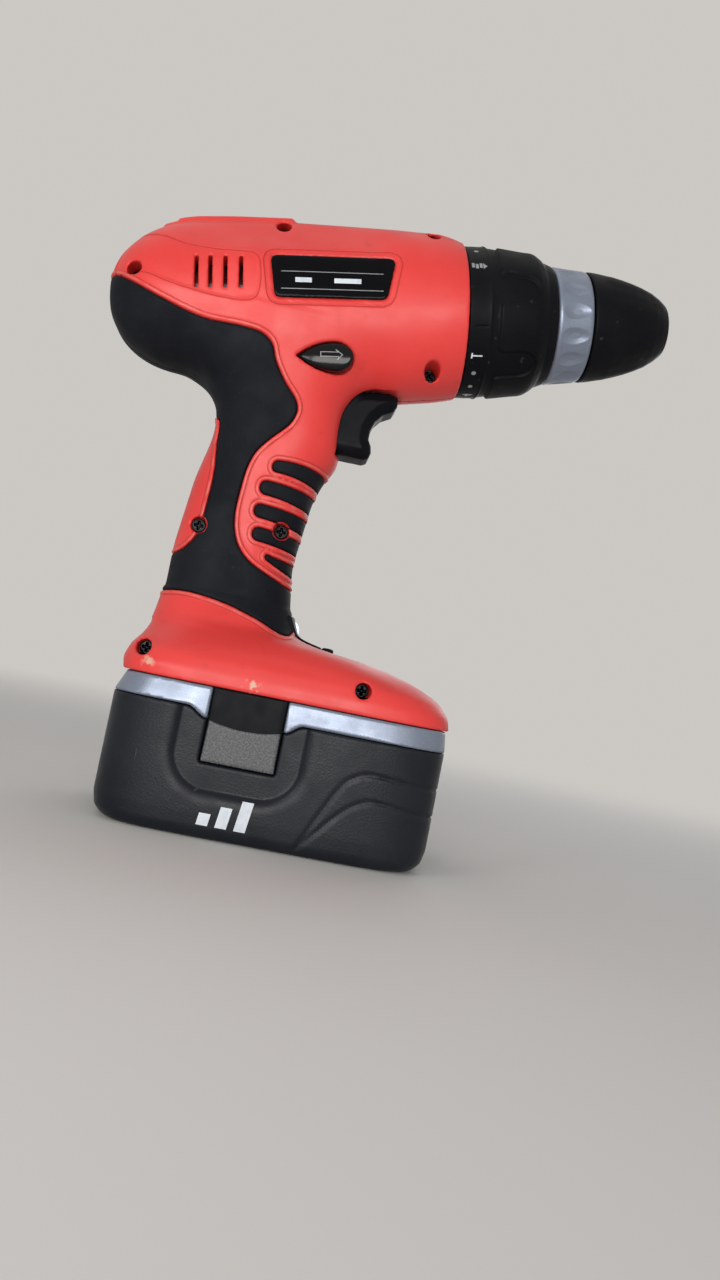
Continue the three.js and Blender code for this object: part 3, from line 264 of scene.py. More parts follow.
def battery_plastic():
    s = Shader("battery_plastic", (0.0085, 0.0105, 0.0150), 0.42, level=0.2)
    s.mottle(30, 5, 0.42, 0.7, (0.0125, 0.0150, 0.0200))
    scratch = s.steps(s.noise(420, 2, (1.0, 1.0, 0.06)), 0.735, 0.75, 0, 0.5)
    s.tint(scratch, (0.16, 0.165, 0.17))
    s.rough(140, 5, 0.34, 0.48)
    s.bump(s.cells(1400), 0.35, 0.08)
    s.grain(1900, 3, 0.3, 0.04)
    s.bump(scratch, 0.2, 0.04)
    return s.material


def latch_grain():
    s = Shader("latch_grain", (0.060, 0.062, 0.067), 0.5, level=0.45)
    s.mottle(1500, 5, 0.42, 0.62, (0.115, 0.118, 0.125))
    s.grain(1300, 5, 0.8, 0.12)
    return s.material


def satin_black():
    s = Shader("satin_black", (0.0045, 0.0052, 0.0072), 0.42, level=0.07)
    s.mottle(60, 4, 0.4, 0.75, (0.0070, 0.0078, 0.0100))
    s.rough(200, 4, 0.36, 0.48)
    s.grain(1500, 2, 0.25, 0.03)
    return s.material


def chuck_black():
    s = Shader("chuck_black", (0.0045, 0.0050, 0.0066), 0.46, level=0.07)
    s.mottle(45, 5, 0.4, 0.75, (0.0070, 0.0075, 0.0092))
    s.mottle(330, 5, 0.66, 0.76, (0.05, 0.051, 0.054), 0.6)
    s.rough(160, 5, 0.40, 0.54)
    s.grain(1100, 3, 0.3, 0.04)
    return s.material


def silver_paint():
    s = Shader("silver_paint", (0.22, 0.255, 0.33), 0.38, 0.55, 0.4)
    s.mottle(3200, 1, 0.45, 0.65, (0.30, 0.34, 0.42), 0.5)
    s.mottle(110, 6, 0.62, 0.78, (0.16, 0.18, 0.22), 0.4)
    s.rough(150, 5, 0.30, 0.44)
    s.grain(900, 3, 0.12, 0.03)
    return s.material


def gloss_black(name, level):
    s = Shader(name, (0.0030, 0.0033, 0.0045), 0.10, level=level)
    s.rough(160, 5, 0.07, 0.16)
    s.grain(300, 3, 0.05, 0.04)
    return s.material


def metal(name, color, roughness, scale=260):
    s = Shader(name, color, roughness, 1.0)
    s.mottle(90, 5, 0.45, 0.75, [0.72 * c for c in color])
    s.rough(scale, 4, roughness - 0.08, roughness + 0.1)
    s.grain(scale * 3, 3, 0.2, 0.03)
    return s.material


def plain(name, color, roughness, scale=300):
    s = Shader(name, color, roughness)
    s.mottle(scale / 4, 4, 0.4, 0.75, [0.82 * c for c in color])
    s.grain(scale * 4, 2, 0.2, 0.03)
    return s.material


def lamp_glow():
    s = Shader("lamp_glow", (0.85, 0.92, 1.0), 0.15)
    s.drive("Emission Color", (0.55, 0.68, 1.0, 1))
    s.drive("Emission Strength", 2.2)
    s.rough(400, 2, 0.10, 0.2)
    return s.material


RED = red_plastic()
RUBBER = rubber()
BATTERY = battery_plastic()
LATCH_GRAIN = latch_grain()
SATIN = satin_black()
CHUCK = chuck_black()
SILVER = silver_paint()
GLOSS = gloss_black("gloss_black", 0.26)
LABEL_BLACK = gloss_black("label_black", 0.08)
STEEL = metal("steel", (0.42, 0.42, 0.43), 0.32)
SCREW_BLACK = metal("screw_black", (0.016, 0.016, 0.018), 0.36)
DARK_STEEL = metal("dark_steel", (0.09, 0.09, 0.095), 0.38)
COPPER = metal("copper_winding", (0.55, 0.26, 0.12), 0.35, 800)
NYLON = plain("nylon", (0.62, 0.60, 0.54), 0.55)
CELL = plain("cell_wrap", (0.03, 0.16, 0.09), 0.35)
WHITE_PRINT = plain("white_print", (0.68, 0.74, 0.80), 0.5, 900)
GREY_PRINT = plain("grey_print", (0.30, 0.31, 0.32), 0.5, 900)
GLOW = lamp_glow()

# ---- Floor and background ----

BACKGROUND = (0.60, 0.578, 0.548, 1)
AMBIENT = (0.20, 0.205, 0.215, 1)
FLOOR_COLOR = (0.90, 0.87, 0.83)
LIT_FLOOR, FLOOR_END = 250, 1100  # how far out the floor is only lit, and where it ends


def floor_material():
    """Pale and lit by the lamps round the drill, and far away as pale as the background."""
    s = Shader("floor", FLOOR_COLOR, 0.75, level=0.1)
    s.mottle(6, 4, 0.4, 0.7, [0.97 * c for c in FLOOR_COLOR], 0.4)
    near = s.near((0, 0, 0), FLOOR_END, FLOOR_END - LIT_FLOOR)
    far = s.times(s.math("SUBTRACT", 1, near), s.seen_rays())
    glow = s.node("Emission", 0, {"Color": BACKGROUND})
    mixed = s.node("MixShader", 0, {0: far, 1: s.bsdf.outputs[0], 2: glow})
    s.give(s.tree.nodes["Material Output"].inputs["Surface"], mixed)
    return s.material


def lay_floor():
    bpy.ops.mesh.primitive_plane_add(size=60, location=(0, 0, -0.0002))
    floor = bpy.context.object
    floor.name = "floor"
    floor.data.materials.append(floor_material())


def light_world():
    """Soft light from everywhere, and a pale background where it is seen."""
    world = bpy.data.worlds.new("world")
    world.use_nodes = True
    bpy.context.scene.world = world
    sky = Nodes(world.node_tree)
    color = sky.mix(sky.seen_rays(), AMBIENT, BACKGROUND)
    sky.give(sky.tree.nodes["Background"].inputs["Color"], color)


lay_floor()
light_world()

# ---- Frames and driving sizes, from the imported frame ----


def span(node):
    """Lowest and highest corner of a CAD node in millimetres."""
    low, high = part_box(node)
    return np.array(low) / MM, np.array(high) / MM


SEAM = span("housing_right")[0][2]  # height of the foot's underside
PACK_LENGTH, PACK_WIDTH, CASE_HEIGHT = (b - a for a, b in zip(*span("battery_case")))
PACK_TOP = SEAM - 0.3
PITCH = math.radians(11)  # of the barrel's axis
COS, SIN = math.cos(PITCH), math.sin(PITCH)
BARREL_X, BARREL_Z = 34.9, SEAM + 151.2  # the axis at the barrel's front edge
GAP = 0.3
RUBBER_DEPTH = 1.2
SPLIT = 0.04  # from the middle plane to the edge of each half of the housing
WALL = 3
BEAD_HEIGHT, PANEL_DEPTH = 0.34, 0.35
TURNING = 9, 17  # from where to where in y the skin turns from its middle to its side
LAMP_POCKET = (-6.8, -9, 17.1), (4.9, 8.3, 28)
BUTTON_X, BUTTON_RADIUS = 11.8, 2.3


def to_barrel(x, z):
    """(u, v) of points of the side plane."""
    return (x - BARREL_X) * COS + (z - BARREL_Z) * SIN, (z - BARREL_Z) * COS - (x - BARREL_X) * SIN


def from_barrel(u, v):
    return BARREL_X + u * COS - v * SIN, BARREL_Z + u * SIN + v * COS


# ---- Signed distance fields ----


def blend_max(a, b, radius):
    """The greater of two fields, with the edge between them rounded."""
    overlap = np.maximum(radius - abs(a - b), 0) / radius
    return np.maximum(a, b) + overlap * overlap * radius / 4


def blend_min(a, b, radius):
    return -blend_max(-a, -b, radius)


def ramp(value, start, end):
    """0 before start, 1 after end, and smooth between them."""
    t = np.clip((value - start) / (end - start), 0, 1)
    return t * t * (3 - 2 * t)


def both(*fields):
    """Inside all of the fields."""
    return reduce(np.maximum, fields)


def either(*fields):
    """Inside any of the fields."""
    return reduce(np.minimum, fields)


def block(x, y, z, low, high):
    """Distance to a box."""
    return both(*(np.maximum(a - c, b - a) for a, b, c in zip((x, y, z), low, high)))


class Table:
    """Values along one axis, given at stations, joined by lines and rounded at the corners."""

    def __init__(self, stations, softness, step=0.25):
        rows = np.array(stations, float)
        pad = 4 * softness + step
        first = rows[0] - (rows[1] - rows[0]) * pad / (rows[1, 0] - rows[0, 0])
        last = rows[-1] + (rows[-1] - rows[-2]) * pad / (rows[-1, 0] - rows[-2, 0])
        rows = np.vstack([first, rows, last])
        self.places = np.arange(rows[0, 0], rows[-1, 0], step)
        reach = int(3 * softness / step)
        weights = np.exp(-0.5 * (np.arange(-reach, reach + 1) * step / softness) ** 2)
        weights /= weights.sum()
        self.columns = []
        for column in rows[:, 1:].T:
            line = np.interp(self.places, rows[:, 0], column)
            self.columns.append(np.convolve(np.pad(line, reach, mode="edge"), weights, "valid"))

    def __call__(self, place):
        return [np.interp(place, self.places, column) for column in self.columns]


def flowing(points):
    """A closed curve through the points, without overshoot."""
    steps = 6
    points = np.array(points, float)
    curve = []
    for i in range(len(points)):
        p = [points[(i + k) % len(points)] for k in (-1, 0, 1, 2)]
        t = np.cumsum([0] + [max(np.linalg.norm(b - a), 1e-6) ** 0.5 for a, b in zip(p, p[1:])])
        for s in np.linspace(t[1], t[2], steps, endpoint=False):
            a = [(p[k] * (t[k + 1] - s) + p[k + 1] * (s - t[k])) / (t[k + 1] - t[k]) for k in range(3)]
            b = [(a[k] * (t[k + 2] - s) + a[k + 1] * (s - t[k])) / (t[k + 2] - t[k]) for k in range(2)]
            curve.append((b[0] * (t[2] - s) + b[1] * (s - t[1])) / (t[2] - t[1]))
    return np.array(curve)


def segment_square(a, b, start, end):
    """Square of the distance from places to the line between two points."""
    dx, dz = end - start
    da, db = a - start[0], b - start[1]
    t = np.clip((da * dx + db * dz) / (dx * dx + dz * dz), 0, 1)
    return (da - t * dx) ** 2 + (db - t * dz) ** 2


class Outline:
    """A closed outline of the side plane as a table of distances, negative inside."""

    def __init__(self, points, smooth=False, step=0.35):
        margin = 6
        points = flowing(points) if smooth else np.array(points, float)
        self.low = points.min(0) - margin
        self.step = step
        self.counts = np.ceil((points.max(0) + margin - self.low) / step).astype(int) + 1
        a, b = np.meshgrid(*(self.low[i] + step * np.arange(self.counts[i]) for i in (0, 1)), indexing="ij")
        self.values = self.distance(a, b, points)

    @staticmethod
    def distance(a, b, points):
        nearest = np.full(a.shape, 1e9)
        inside = np.zeros(a.shape, bool)
        for start, end in zip(points, np.roll(points, -1, axis=0)):
            nearest = np.minimum(nearest, segment_square(a, b, start, end))
            dx, dz = end - start
            if dz:
                crossed = (start[1] > b) != (end[1] > b)
                inside ^= crossed & (a < start[0] + (b - start[1]) * dx / dz)
        return np.where(inside, -1, 1) * np.sqrt(nearest)

    def __call__(self, a, b):
        i, j = ((p - low) / self.step for p, low in zip((a, b), self.low))
        i = np.clip(i, 0, self.counts[0] - 1.001)
        j = np.clip(j, 0, self.counts[1] - 1.001)
        i0, j0 = i.astype(int), j.astype(int)
        s, t = i - i0, j - j0
        v = self.values
        return ((v[i0, j0] * (1 - s) + v[i0 + 1, j0] * s) * (1 - t)
                + (v[i0, j0 + 1] * (1 - s) + v[i0 + 1, j0 + 1] * s) * t)


def rounded_corner(a, b):
    """Distance to the corner that two edges' distances make."""
    return np.hypot(np.maximum(a, 0), np.maximum(b, 0)) + np.minimum(np.maximum(a, b), 0)


def surface_distance(norm, a, b, c):
    """First-order distance to the surface on which norm is one."""
    d = 0.1
    value = norm(a, b, c)
    slopes = [norm(a + d * i, b + d * j, c + d * k) - value for i, j, k in np.eye(3)]
    return (value - 1) * d / np.sqrt(sum(s * s for s in slopes) + 1e-12)


# ---- Meshes ----

CORNERS = np.array([(i, j, k) for i in (0, 1) for j in (0, 1) for k in (0, 1)])
EDGES = [(a, b) for a in range(8) for b in range(a) if abs(CORNERS[a] - CORNERS[b]).sum() == 1]
BLOCK = 4


def sampled(field, low, high, step):
    """The field on a grid, worked out only in the blocks near its surface."""
    low = np.array(low, float)
    blocks = np.ceil((np.array(high) - low) / (step * BLOCK)).astype(int) + 1
    middle = (BLOCK - 1) / 2
    centres = [low[i] + step * (BLOCK * np.arange(blocks[i]) + middle) for i in range(3)]
    coarse = field(*(m.ravel() for m in np.meshgrid(*centres, indexing="ij")))
    near = np.flatnonzero(abs(coarse) < 1.6 * step * BLOCK)
    grid = np.repeat(coarse[:, None], BLOCK ** 3, 1)
    inner = np.indices((BLOCK,) * 3).reshape(3, -1)
    corner = np.array(np.unravel_index(near, blocks))[:, :, None] * BLOCK
    places = low[:, None, None] + step * (corner + inner[:, None, :])
    grid[near] = field(*places.reshape(3, -1)).reshape(len(near), -1)
    grid = grid.reshape(*blocks, BLOCK, BLOCK, BLOCK).transpose(0, 3, 1, 4, 2, 5)
    return grid.reshape(blocks * BLOCK)


def surface_net(values, low, step):
    """Vertices and four-cornered faces of the surface where the values change sign."""
    inside = values < 0
    corners = [inside[tuple(slice(c, c - 1 or None) for c in corner)] for corner in CORNERS]
    count = sum(c.astype(np.uint8) for c in corners)
    active = (count > 0) & (count < 8)
    cells = np.argwhere(active)
    number = np.full(active.shape, -1, np.int32)
    number[active] = np.arange(len(cells))
    total = np.zeros((len(cells), 3))
    hits = np.zeros(len(cells))
    for a, b in EDGES:
        at_a = values[tuple((cells + CORNERS[a]).T)]
        at_b = values[tuple((cells + CORNERS[b]).T)]
        crossed = (at_a < 0) != (at_b < 0)
        share = (at_a / np.where(crossed, at_a - at_b, 1))[crossed, None]
        total[crossed] += CORNERS[a] + share * (CORNERS[b] - CORNERS[a])
        hits += crossed
    vertices = np.array(low) + step * (cells + total / hits[:, None])
    faces = []
    for axis in range(3):
        b, c = np.eye(3, dtype=int)[[(axis + 1) % 3, (axis + 2) % 3]]
        first = np.take(inside, range(inside.shape[axis] - 1), axis)
        second = np.take(inside, range(1, inside.shape[axis]), axis)
        edges = np.argwhere(first != second)
        reach = np.array(inside.shape) - 1
        across = b + c > 0
        edges = edges[((edges[:, across] > 0) & (edges[:, across] < reach[across])).all(1)]
        quads = np.stack([number[tuple((edges - e).T)] for e in (b + c, c, 0 * c, b)], 1)
        outward = first[tuple(edges.T)]
        faces.append(np.where(outward[:, None], quads, quads[:, ::-1]))
    return vertices, np.vstack(faces)


def polished(vertices, field, step):
    """Vertices moved onto the field's zero surface."""
    for _ in range(2):
        value = field(*vertices.T)
        d = 0.15 * step
        slope = np.stack([field(*(vertices + d * e).T) - field(*(vertices - d * e).T) for e in np.eye(3)], 1)
        slope /= 2 * d
        move = slope * (value / np.maximum((slope * slope).sum(1), 0.2))[:, None]
        length = np.linalg.norm(move, axis=1, keepdims=True)
        vertices = vertices - move * np.minimum(1, 0.35 * step / np.maximum(length, 1e-9))
    return vertices


def mesh_object(name, vertices, faces, material):
    """A smooth object from vertices in millimetres and faces that all have as many corners."""
    mesh = bpy.data.meshes.new(name)
    faces = np.asarray(faces, np.int32)
    mesh.vertices.add(len(vertices))
    mesh.vertices.foreach_set("co", (np.asarray(vertices) * MM).astype(np.float32).ravel())
    mesh.loops.add(faces.size)
    mesh.loops.foreach_set("vertex_index", faces.ravel())
    mesh.polygons.add(len(faces))
    mesh.polygons.foreach_set("loop_start", np.arange(0, faces.size, faces.shape[1], dtype=np.int32))
    mesh.polygons.foreach_set("use_smooth", np.ones(len(faces), bool))
    mesh.update(calc_edges=True)
    mesh.materials.append(material)
    return added(name, mesh)


def tube_faces(rows, around, closed):
    """Faces between neighbouring rings of points, and from the last to the first where closed."""
    i, j = np.meshgrid(np.arange(rows if closed else rows - 1), np.arange(around), indexing="ij")
    next_i, next_j = (i + 1) % rows, (j + 1) % around
    corners = (i, j), (next_i, j), (next_i, next_j), (i, next_j)
    return np.stack([a * around + b for a, b in corners], -1).reshape(-1, 4)


def moulded(name, field, low, high, step, material, side=1):
    """A piece from a field of (x, y, z). Where side is -1 the piece is its mirror image in y."""
    low = np.array(low, float) - 2 * step
    vertices, faces = surface_net(sampled(field, low, np.array(high) + 2 * step, step), low, step)
    vertices = polished(vertices, field, step)
    if side < 0:
        vertices = vertices * (1, -1, 1)
        faces = faces[:, ::-1]
    return mesh_object(name, vertices, faces, material)


def store(piece, name, field, side=1):
    """Keeps a field's value at each vertex for the material, in millimetres."""
    places = np.empty(len(piece.data.vertices) * 3, np.float32)
    piece.data.vertices.foreach_get("co", places)
    x, y, z = places.reshape(-1, 3).T / MM
    attribute = piece.data.attributes.new(name, "FLOAT", "POINT")
    attribute.data.foreach_set("value", field(x, y * side, z).astype(np.float32))


def seat(piece, body, node=None):
    """Puts a piece on its body, in place of a CAD node where one is given."""
    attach(piece, body)
    if node:
        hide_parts(node)


# ---- The housing's outer skin ----

DOME_START, DOME_LENGTH = -93.8, 34.0
# place along the axis, top, bottom, half width, exponent of the oval and height of its centre
BARREL = Table([
    (DOME_START, 32.4, -23.6, 25.4, 2.2, 2.8), (-81.8, 32.5, -26, 26.1, 2.3, 3.3),
    (-60, 32.6, -28.7, 27, 2.3, 2), (-24, 31.7, -30.8, 27.8, 2.2, 0.5),
    (-7, 30.9, -29.3, 28.2, 2.1, 0.8), (0, 28.6, -28.2, 27.9, 2, 0.2),
], 1.8)
# height above the seam, back, front, half width and exponent of the oval
GRIP = Table([
    (21.2, -52, -0.8, 21.5, 2.5), (30.2, -50.8, -4.4, 18.2, 2.3), (47.2, -50.9, -7, 17, 2.3),
    (72.2, -48.4, -4.6, 17, 2.3), (81.2, -46.5, -1.8, 17.2, 2.3), (86.2, -45.4, 1.6, 17.6, 2.4),
    (91.2, -44.8, 1.9, 18.3, 2.6), (99.2, -45.8, 0.7, 19.9, 2.6), (106.2, -50.4, 0.7, 21.8, 2.6),
    (111.2, -59, 3, 23.2, 2.6), (119.2, -68, 9, 25, 2.5), (131.2, -66, 14, 24.5, 2.5),
], 2.2)
FOOT = Table([
    (0, -57.2, 58.6, 39, 5), (4, -58, 57.8, 39, 5), (9, -56.8, 54, 37.6, 4.2),
    (13, -54.2, 46.4, 34.5, 3.4), (16, -53.1, 36.4, 31, 3), (18.4, -52.4, 24.2, 27.5, 2.8),
    (19.2, -52.2, 9.6, 26.2, 2.7), (22.2, -51.6, -0.8, 22.5, 2.5), (29.2, -50.9, -4.2, 18.4, 2.3),
], 0.9)
# place along the axis, height and half width at which the shoulder's facet starts
SHOULDER = Table([
    (-120, 24, 17), (-105, 19.5, 21.6), (-95, 15.3, 23.8), (-74, 13.4, 25.4), (-30, 14.2, 25.8),
    (-15, 15, 27),
], 2)


def barrel_norm(u, y, v):
    top, bottom, half, exponent, centre = BARREL(u)
    rise = v - centre
    p = (abs(rise) / np.where(rise > 0, top - centre, centre - bottom)) ** exponent
    q = (abs(y) / half) ** exponent
    section = (p + q) ** (1 / exponent)
    beside = q / np.maximum(p + q, 1e-9)
    back = np.maximum(DOME_START - u, 0) / DOME_LENGTH
    roundness = np.where(rise > 0, 1.9, 2.15) * (1 - beside) + 3 * beside
    return (section ** roundness + back ** roundness) ** (1 / roundness)


def upright_norm(table):
    """The norm of a column of ovals, in x, y and height above the seam."""
    def norm(x, y, height):
        back, front, half, exponent = table(height)
        p = abs(x - (back + front) / 2) / ((front - back) / 2)
        return (p ** exponent + (abs(y) / half) ** exponent) ** (1 / exponent)
    return norm


def barrel_distance(u, y, v):
    """The barrel with its shoulders' facets and its raised spine."""
    hull = surface_distance(barrel_norm, u, y, v)
    crease, beside = SHOULDER(u)
    facet = (abs(y) - beside) * 0.796 + (v - crease) * 0.605
    facet -= 6 * ramp(u, -34, -14)
    hull = blend_max(hull, facet, 1.6)
    spine = 0.75 * ramp(u, -108.6, -107.4) + 0.75 * ramp(u, -103.6, -102.4)
    spine *= 1 - ramp(u, -62.6, -60.2)
    hull -= spine * (1 - ramp(abs(y), 11.2, 12.6)) * ramp(v, 5, 12)
    return blend_max(hull, u, 0.8)


def skin(x, y, z):
    """The whole outer skin. Here and below y is measured from the middle to the piece's side."""
    height = z - SEAM
    u, v = to_barrel(x, z)
    grip = both(surface_distance(upright_norm(GRIP), x, y, height), 20 - height, height - 131)
    foot = both(surface_distance(upright_norm(FOOT), x, y, height), height - 30)
    return blend_min(barrel_distance(u, y, v), blend_min(grip, foot, 3), 4)


# ---- Side outlines ----


def raised(points):
    """Points given above the seam, in the part's frame."""
    return [(x, z + SEAM) for x, z in points]


RUBBER_LINE = Outline(raised([
    (-110, 135.5), (-89.7, 134.8), (-81.2, 131.6), (-69.9, 127.6), (-54.8, 124.2), (-40.4, 123.8),
    (-33.8, 123.1), (-29.6, 120.4), (-27.1, 115), (-22.9, 109.1), (-17.3, 103.2), (-16.4, 100),
    (-18.1, 95.2), (-23, 89.7), (-27.4, 84.1), (-29.5, 78.4), (-30.5, 68.5), (-30.6, 60.5),
    (-29.6, 54.8), (-27.2, 49.6), (-23.2, 45.6), (-17.4, 42.6), (-8, 39.2), (-3.4, 37.5),
    (-3.4, 22.2),
    (-16.4, 25.7), (-27.3, 28.6), (-40.7, 30.3), (-62, 30.5), (-62, 43.4), (-49.6, 43.4),
    (-45.2, 46.4), (-41.9, 52.1), (-41.1, 62), (-40.9, 73.9), (-42.2, 84), (-44.1, 94.7),
    (-62, 96.5), (-110, 96.5),
]), smooth=True)
# back end, front end and half heights there of each finger stripe, and how far it bows upwards
STRIPES = (
    ((-20.8, 79.9), (4, 76.6), 2.0, 3.2, 1.5), ((-23.6, 71.8), (4, 68.4), 2.4, 3.1, 0.9),
    ((-24, 63.4), (4, 60.2), 2.35, 2.9, 0.7), ((-23, 55.2), (4, 52.4), 2.35, 2.7, 0.5),
    ((-17.2, 48), (4, 43.8), 0.9, 3.6, -0.6),
)
LABEL_LINE = Outline([
    (-68.6, -0.6), (-68, -1.9), (-66.6, -2.4), (-31.1, -2.4), (-29.6, -1.9), (-28.8, -0.5),
    (-26.3, 10.8), (-26.8, 12.4), (-28.3, 13), (-67.8, 13), (-69.3, 12.4), (-69.8, 10.8),
])
VENT_PANEL = Outline([
    (-124, 7), (-118, 22), (-108, 20.5), (-100, 17), (-88, 14.6), (-76, 13.4), (-74, 11.4),
    (-74.2, -1.2), (-76.6, -3.4), (-86, -2.8), (-96, -0.4), (-105, 2.4), (-114, 6),
], smooth=True)
VENTS = (-95.5, -90.7, -85.5, -80.1)
SELECTOR_U, SELECTOR_V = -50.6, -21.8
SELECTOR_FLOOR = 17.9  # how far from the middle its pockets end
TRIGGER_HALF = 8.6


def drop_points(length, height, widest):
    """A drop that points to the back: round in front of its widest place, tapering behind it."""
    points = []
    for turn in np.arange(48) * math.tau / 48:
        along, across = math.cos(turn), math.sin(turn)
        if along < 0:
            across = math.copysign(1 - along * along, across)
        reach = length / 2 - widest if along > 0 else length / 2 + widest
        points.append((SELECTOR_U + widest + along * reach, SELECTOR_V + across * height / 2))
    return points


SELECTOR_LINE = Outline(drop_points(19.9, 10.2, 3.6), step=0.2)
TRIGGER_LINE = Outline(raised([
    (-9, 111.3), (0.6, 111.3), (2.2, 114.2), (4.5, 115.6), (8, 116.6), (15.7, 117.4), (18.4, 116.9),
    (19, 115.4), (19, 113.4), (18.1, 111.4), (14.5, 109.3), (12.2, 106.4), (11, 102.7), (11, 99.2),
    (12.3, 96.9), (12.8, 94.5), (12.2, 92.3), (10.6, 90.9), (-9, 90.9),
]), step=0.2)
TRIGGER_POCKET = Outline(raised([
    (-17, 90.6), (30, 90.6), (30, 112.5), (19.3, 113.8), (19.3, 117.7), (-1, 117.7), (-7, 115),
    (-10, 112), (-17, 112),
]))
# place on the side in x and height above the seam, how far the head lies from the middle, radius
SCREWS = [
    (-81.6, 136.7, 12, 2.4), (-34.4, 165.8, 7, 2.4), (19.2, 174.6, 9, 2.2), (28, 125.7, 8.2, 2.6),
    (-42.6, 54.4, 11.2, 2.6), (-13.5, 58.2, 10.6, 2.6), (-50.2, 8.2, 22.5, 2.5), (24.5, 8, 29.8, 2.5),
]


def stripe_lines(x, z):
    """Distance to the nearest finger stripe: bars that widen and bow towards the front."""
    nearest = np.full(np.shape(x), 99.0)
    for (x0, z0), (x1, z1), back, front, bow in STRIPES:
        share = np.clip((x - x0) / (x1 - x0), 0, 1)
        middle = SEAM + z0 + (z1 - z0) * share + 4 * bow * share * (1 - share)
        half = back + (front - back) * share
        rounding = 0.9 * back
        across = abs(z - middle) - half + rounding
        along = x0 - x - 0.1 * back + rounding
        nearest = np.minimum(nearest, rounded_corner(across, along) - rounding)
    return nearest


def stripes(x, y, z):
    """The finger stripes and the strip that joins them round the front of the grip."""
    strip = block(x, y, z, (-15, -9, SEAM + 44.2), (3, 1.6, SEAM + 79.4))
    return either(stripe_lines(x, z), strip)


def hole(x, z, place, radius):
    return np.hypot(x - place[0], z - SEAM - place[1]) - radius


def selector_bar(u, v):
    """The square bar that joins the selector's two ends through the housing."""
    return both(abs(u - SELECTOR_U), abs(v - SELECTOR_V)) - 3.1


# ---- Housing, overmould and finger pads ----


def housing_field(right):
    """One half of the housing, less the rubber's bed and all that is hollow."""
    def field(x, y, z):
        u, v = to_barrel(x, z)
        height = z - SEAM
        outer = skin(x, y, z)
        edge = rubber_edge(x, y, z)
        bead = BEAD_HEIGHT * ramp(edge, 0.1, 0.5) * (1 - ramp(edge, 1.2, 1.8))
        panel = 1 - ramp(panel_edge(right)(x, y, z), -0.5, 0.2)
        lowered = PANEL_DEPTH * panel * ramp(y, *TURNING)
        shell = blend_max(outer - bead + lowered, -height, 0.6)
        covered = either(RUBBER_LINE(x, z), stripes(x, y, z)) - 0.2
        pit = both(-(outer + RUBBER_DEPTH + GAP), covered)
        shell = blend_max(shell, -pit, 0.35)
        # rooms for the gears, the motor and the pack's tower, and the hollow foot round the tower
        radius = np.hypot(y, v)
        gears = block(u, radius, v, (-44, -1, -99), (9, 21.9, 99))
        motor = block(u, radius, v, (-111, -1, -99), (-43, 19.4, 99))
        tower = block(x, y, height, (-43.9, -9, -9), (-16.1, 13.3, 46))
        tower_wall = block(x, y, height, (-46.5, -9, -9), (-13.5, 15.8, 50))
        foot = both(outer + WALL, height - 6, -tower_wall)
        # pockets for the controls and the lamp, and the vents
        trigger = both(TRIGGER_POCKET(x, z), y - TRIGGER_HALF - GAP)
        shift = either(
            block(u, y, v, (-33.8, -9, 29.1), (-17.2, 6.8, 60)),
            block(u, y, v, (-29.9, -9, 15), (-21.1, 2.8, 60)),
        )
        selector = both(SELECTOR_LINE(u, v) - GAP, SELECTOR_FLOOR - y)
        through = both(selector_bar(u, v) - GAP, y - 30)
        lamp = block(x, y, height, *LAMP_POCKET)
        button = both(np.hypot(x - BUTTON_X, y) - BUTTON_RADIUS - GAP, 10 - height)
        vents = either(*(
            block(u, y, v, (place - 0.7, 14, 0.6), (place + 0.7, 40, 12.1)) for place in VENTS
        ))
        for cut in (gears, motor, tower, foot, shift, selector, through, lamp, button, vents):
            shell = blend_max(shell, -cut, 0.35)
        shell = blend_max(shell, -trigger, 1.2)
        if right:
            label = both(LABEL_LINE(u, v) - GAP, -(outer + 1.1))
            shell = blend_max(shell, -label, 0.3)
            for *place, depth, radius in SCREWS:
                well = both(hole(x, z, place, radius + GAP), depth - 2 - y)
                shell = blend_max(shell, -well, 0.5)
        return blend_max(shell, SPLIT - y, 0.1)
    return field


def rubber_edge(x, y, z):
    """Distance over the skin to the nearest rubber."""
    return either(RUBBER_LINE(x, z), stripe_lines(x, z))


def panel_edge(right):
    """Distance to the edge of the nearest lowered panel, negative inside it."""
    def field(x, y, z):
        u, v = to_barrel(x, z)
        # the vents' panel fades out towards the middle, where the skin turns to the back
        edge = VENT_PANEL(u, v) * (1 + 14 * (1 - ramp(y, *TURNING)))
        return either(edge, LABEL_LINE(u, v) - 2.4) if right else edge
    return field


def rubber_field(line, right, holes):
    """A layer of rubber level with the skin, inside a line and clear of the screws' holes."""
    def field(x, y, z):
        outer = skin(x, y, z)
        layer = blend_max(outer, line(x, y, z), 0.9)
        layer = blend_max(layer, -(outer + RUBBER_DEPTH), 0.3)
        layer = blend_max(layer, -block(x, y, z - SEAM, *LAMP_POCKET), 0.3)
        if right:
            for i in holes:
                layer = blend_max(layer, -hole(x, z, SCREWS[i], 3.3), 0.5)
        return blend_max(layer, SPLIT - y, 0.1)
    return field


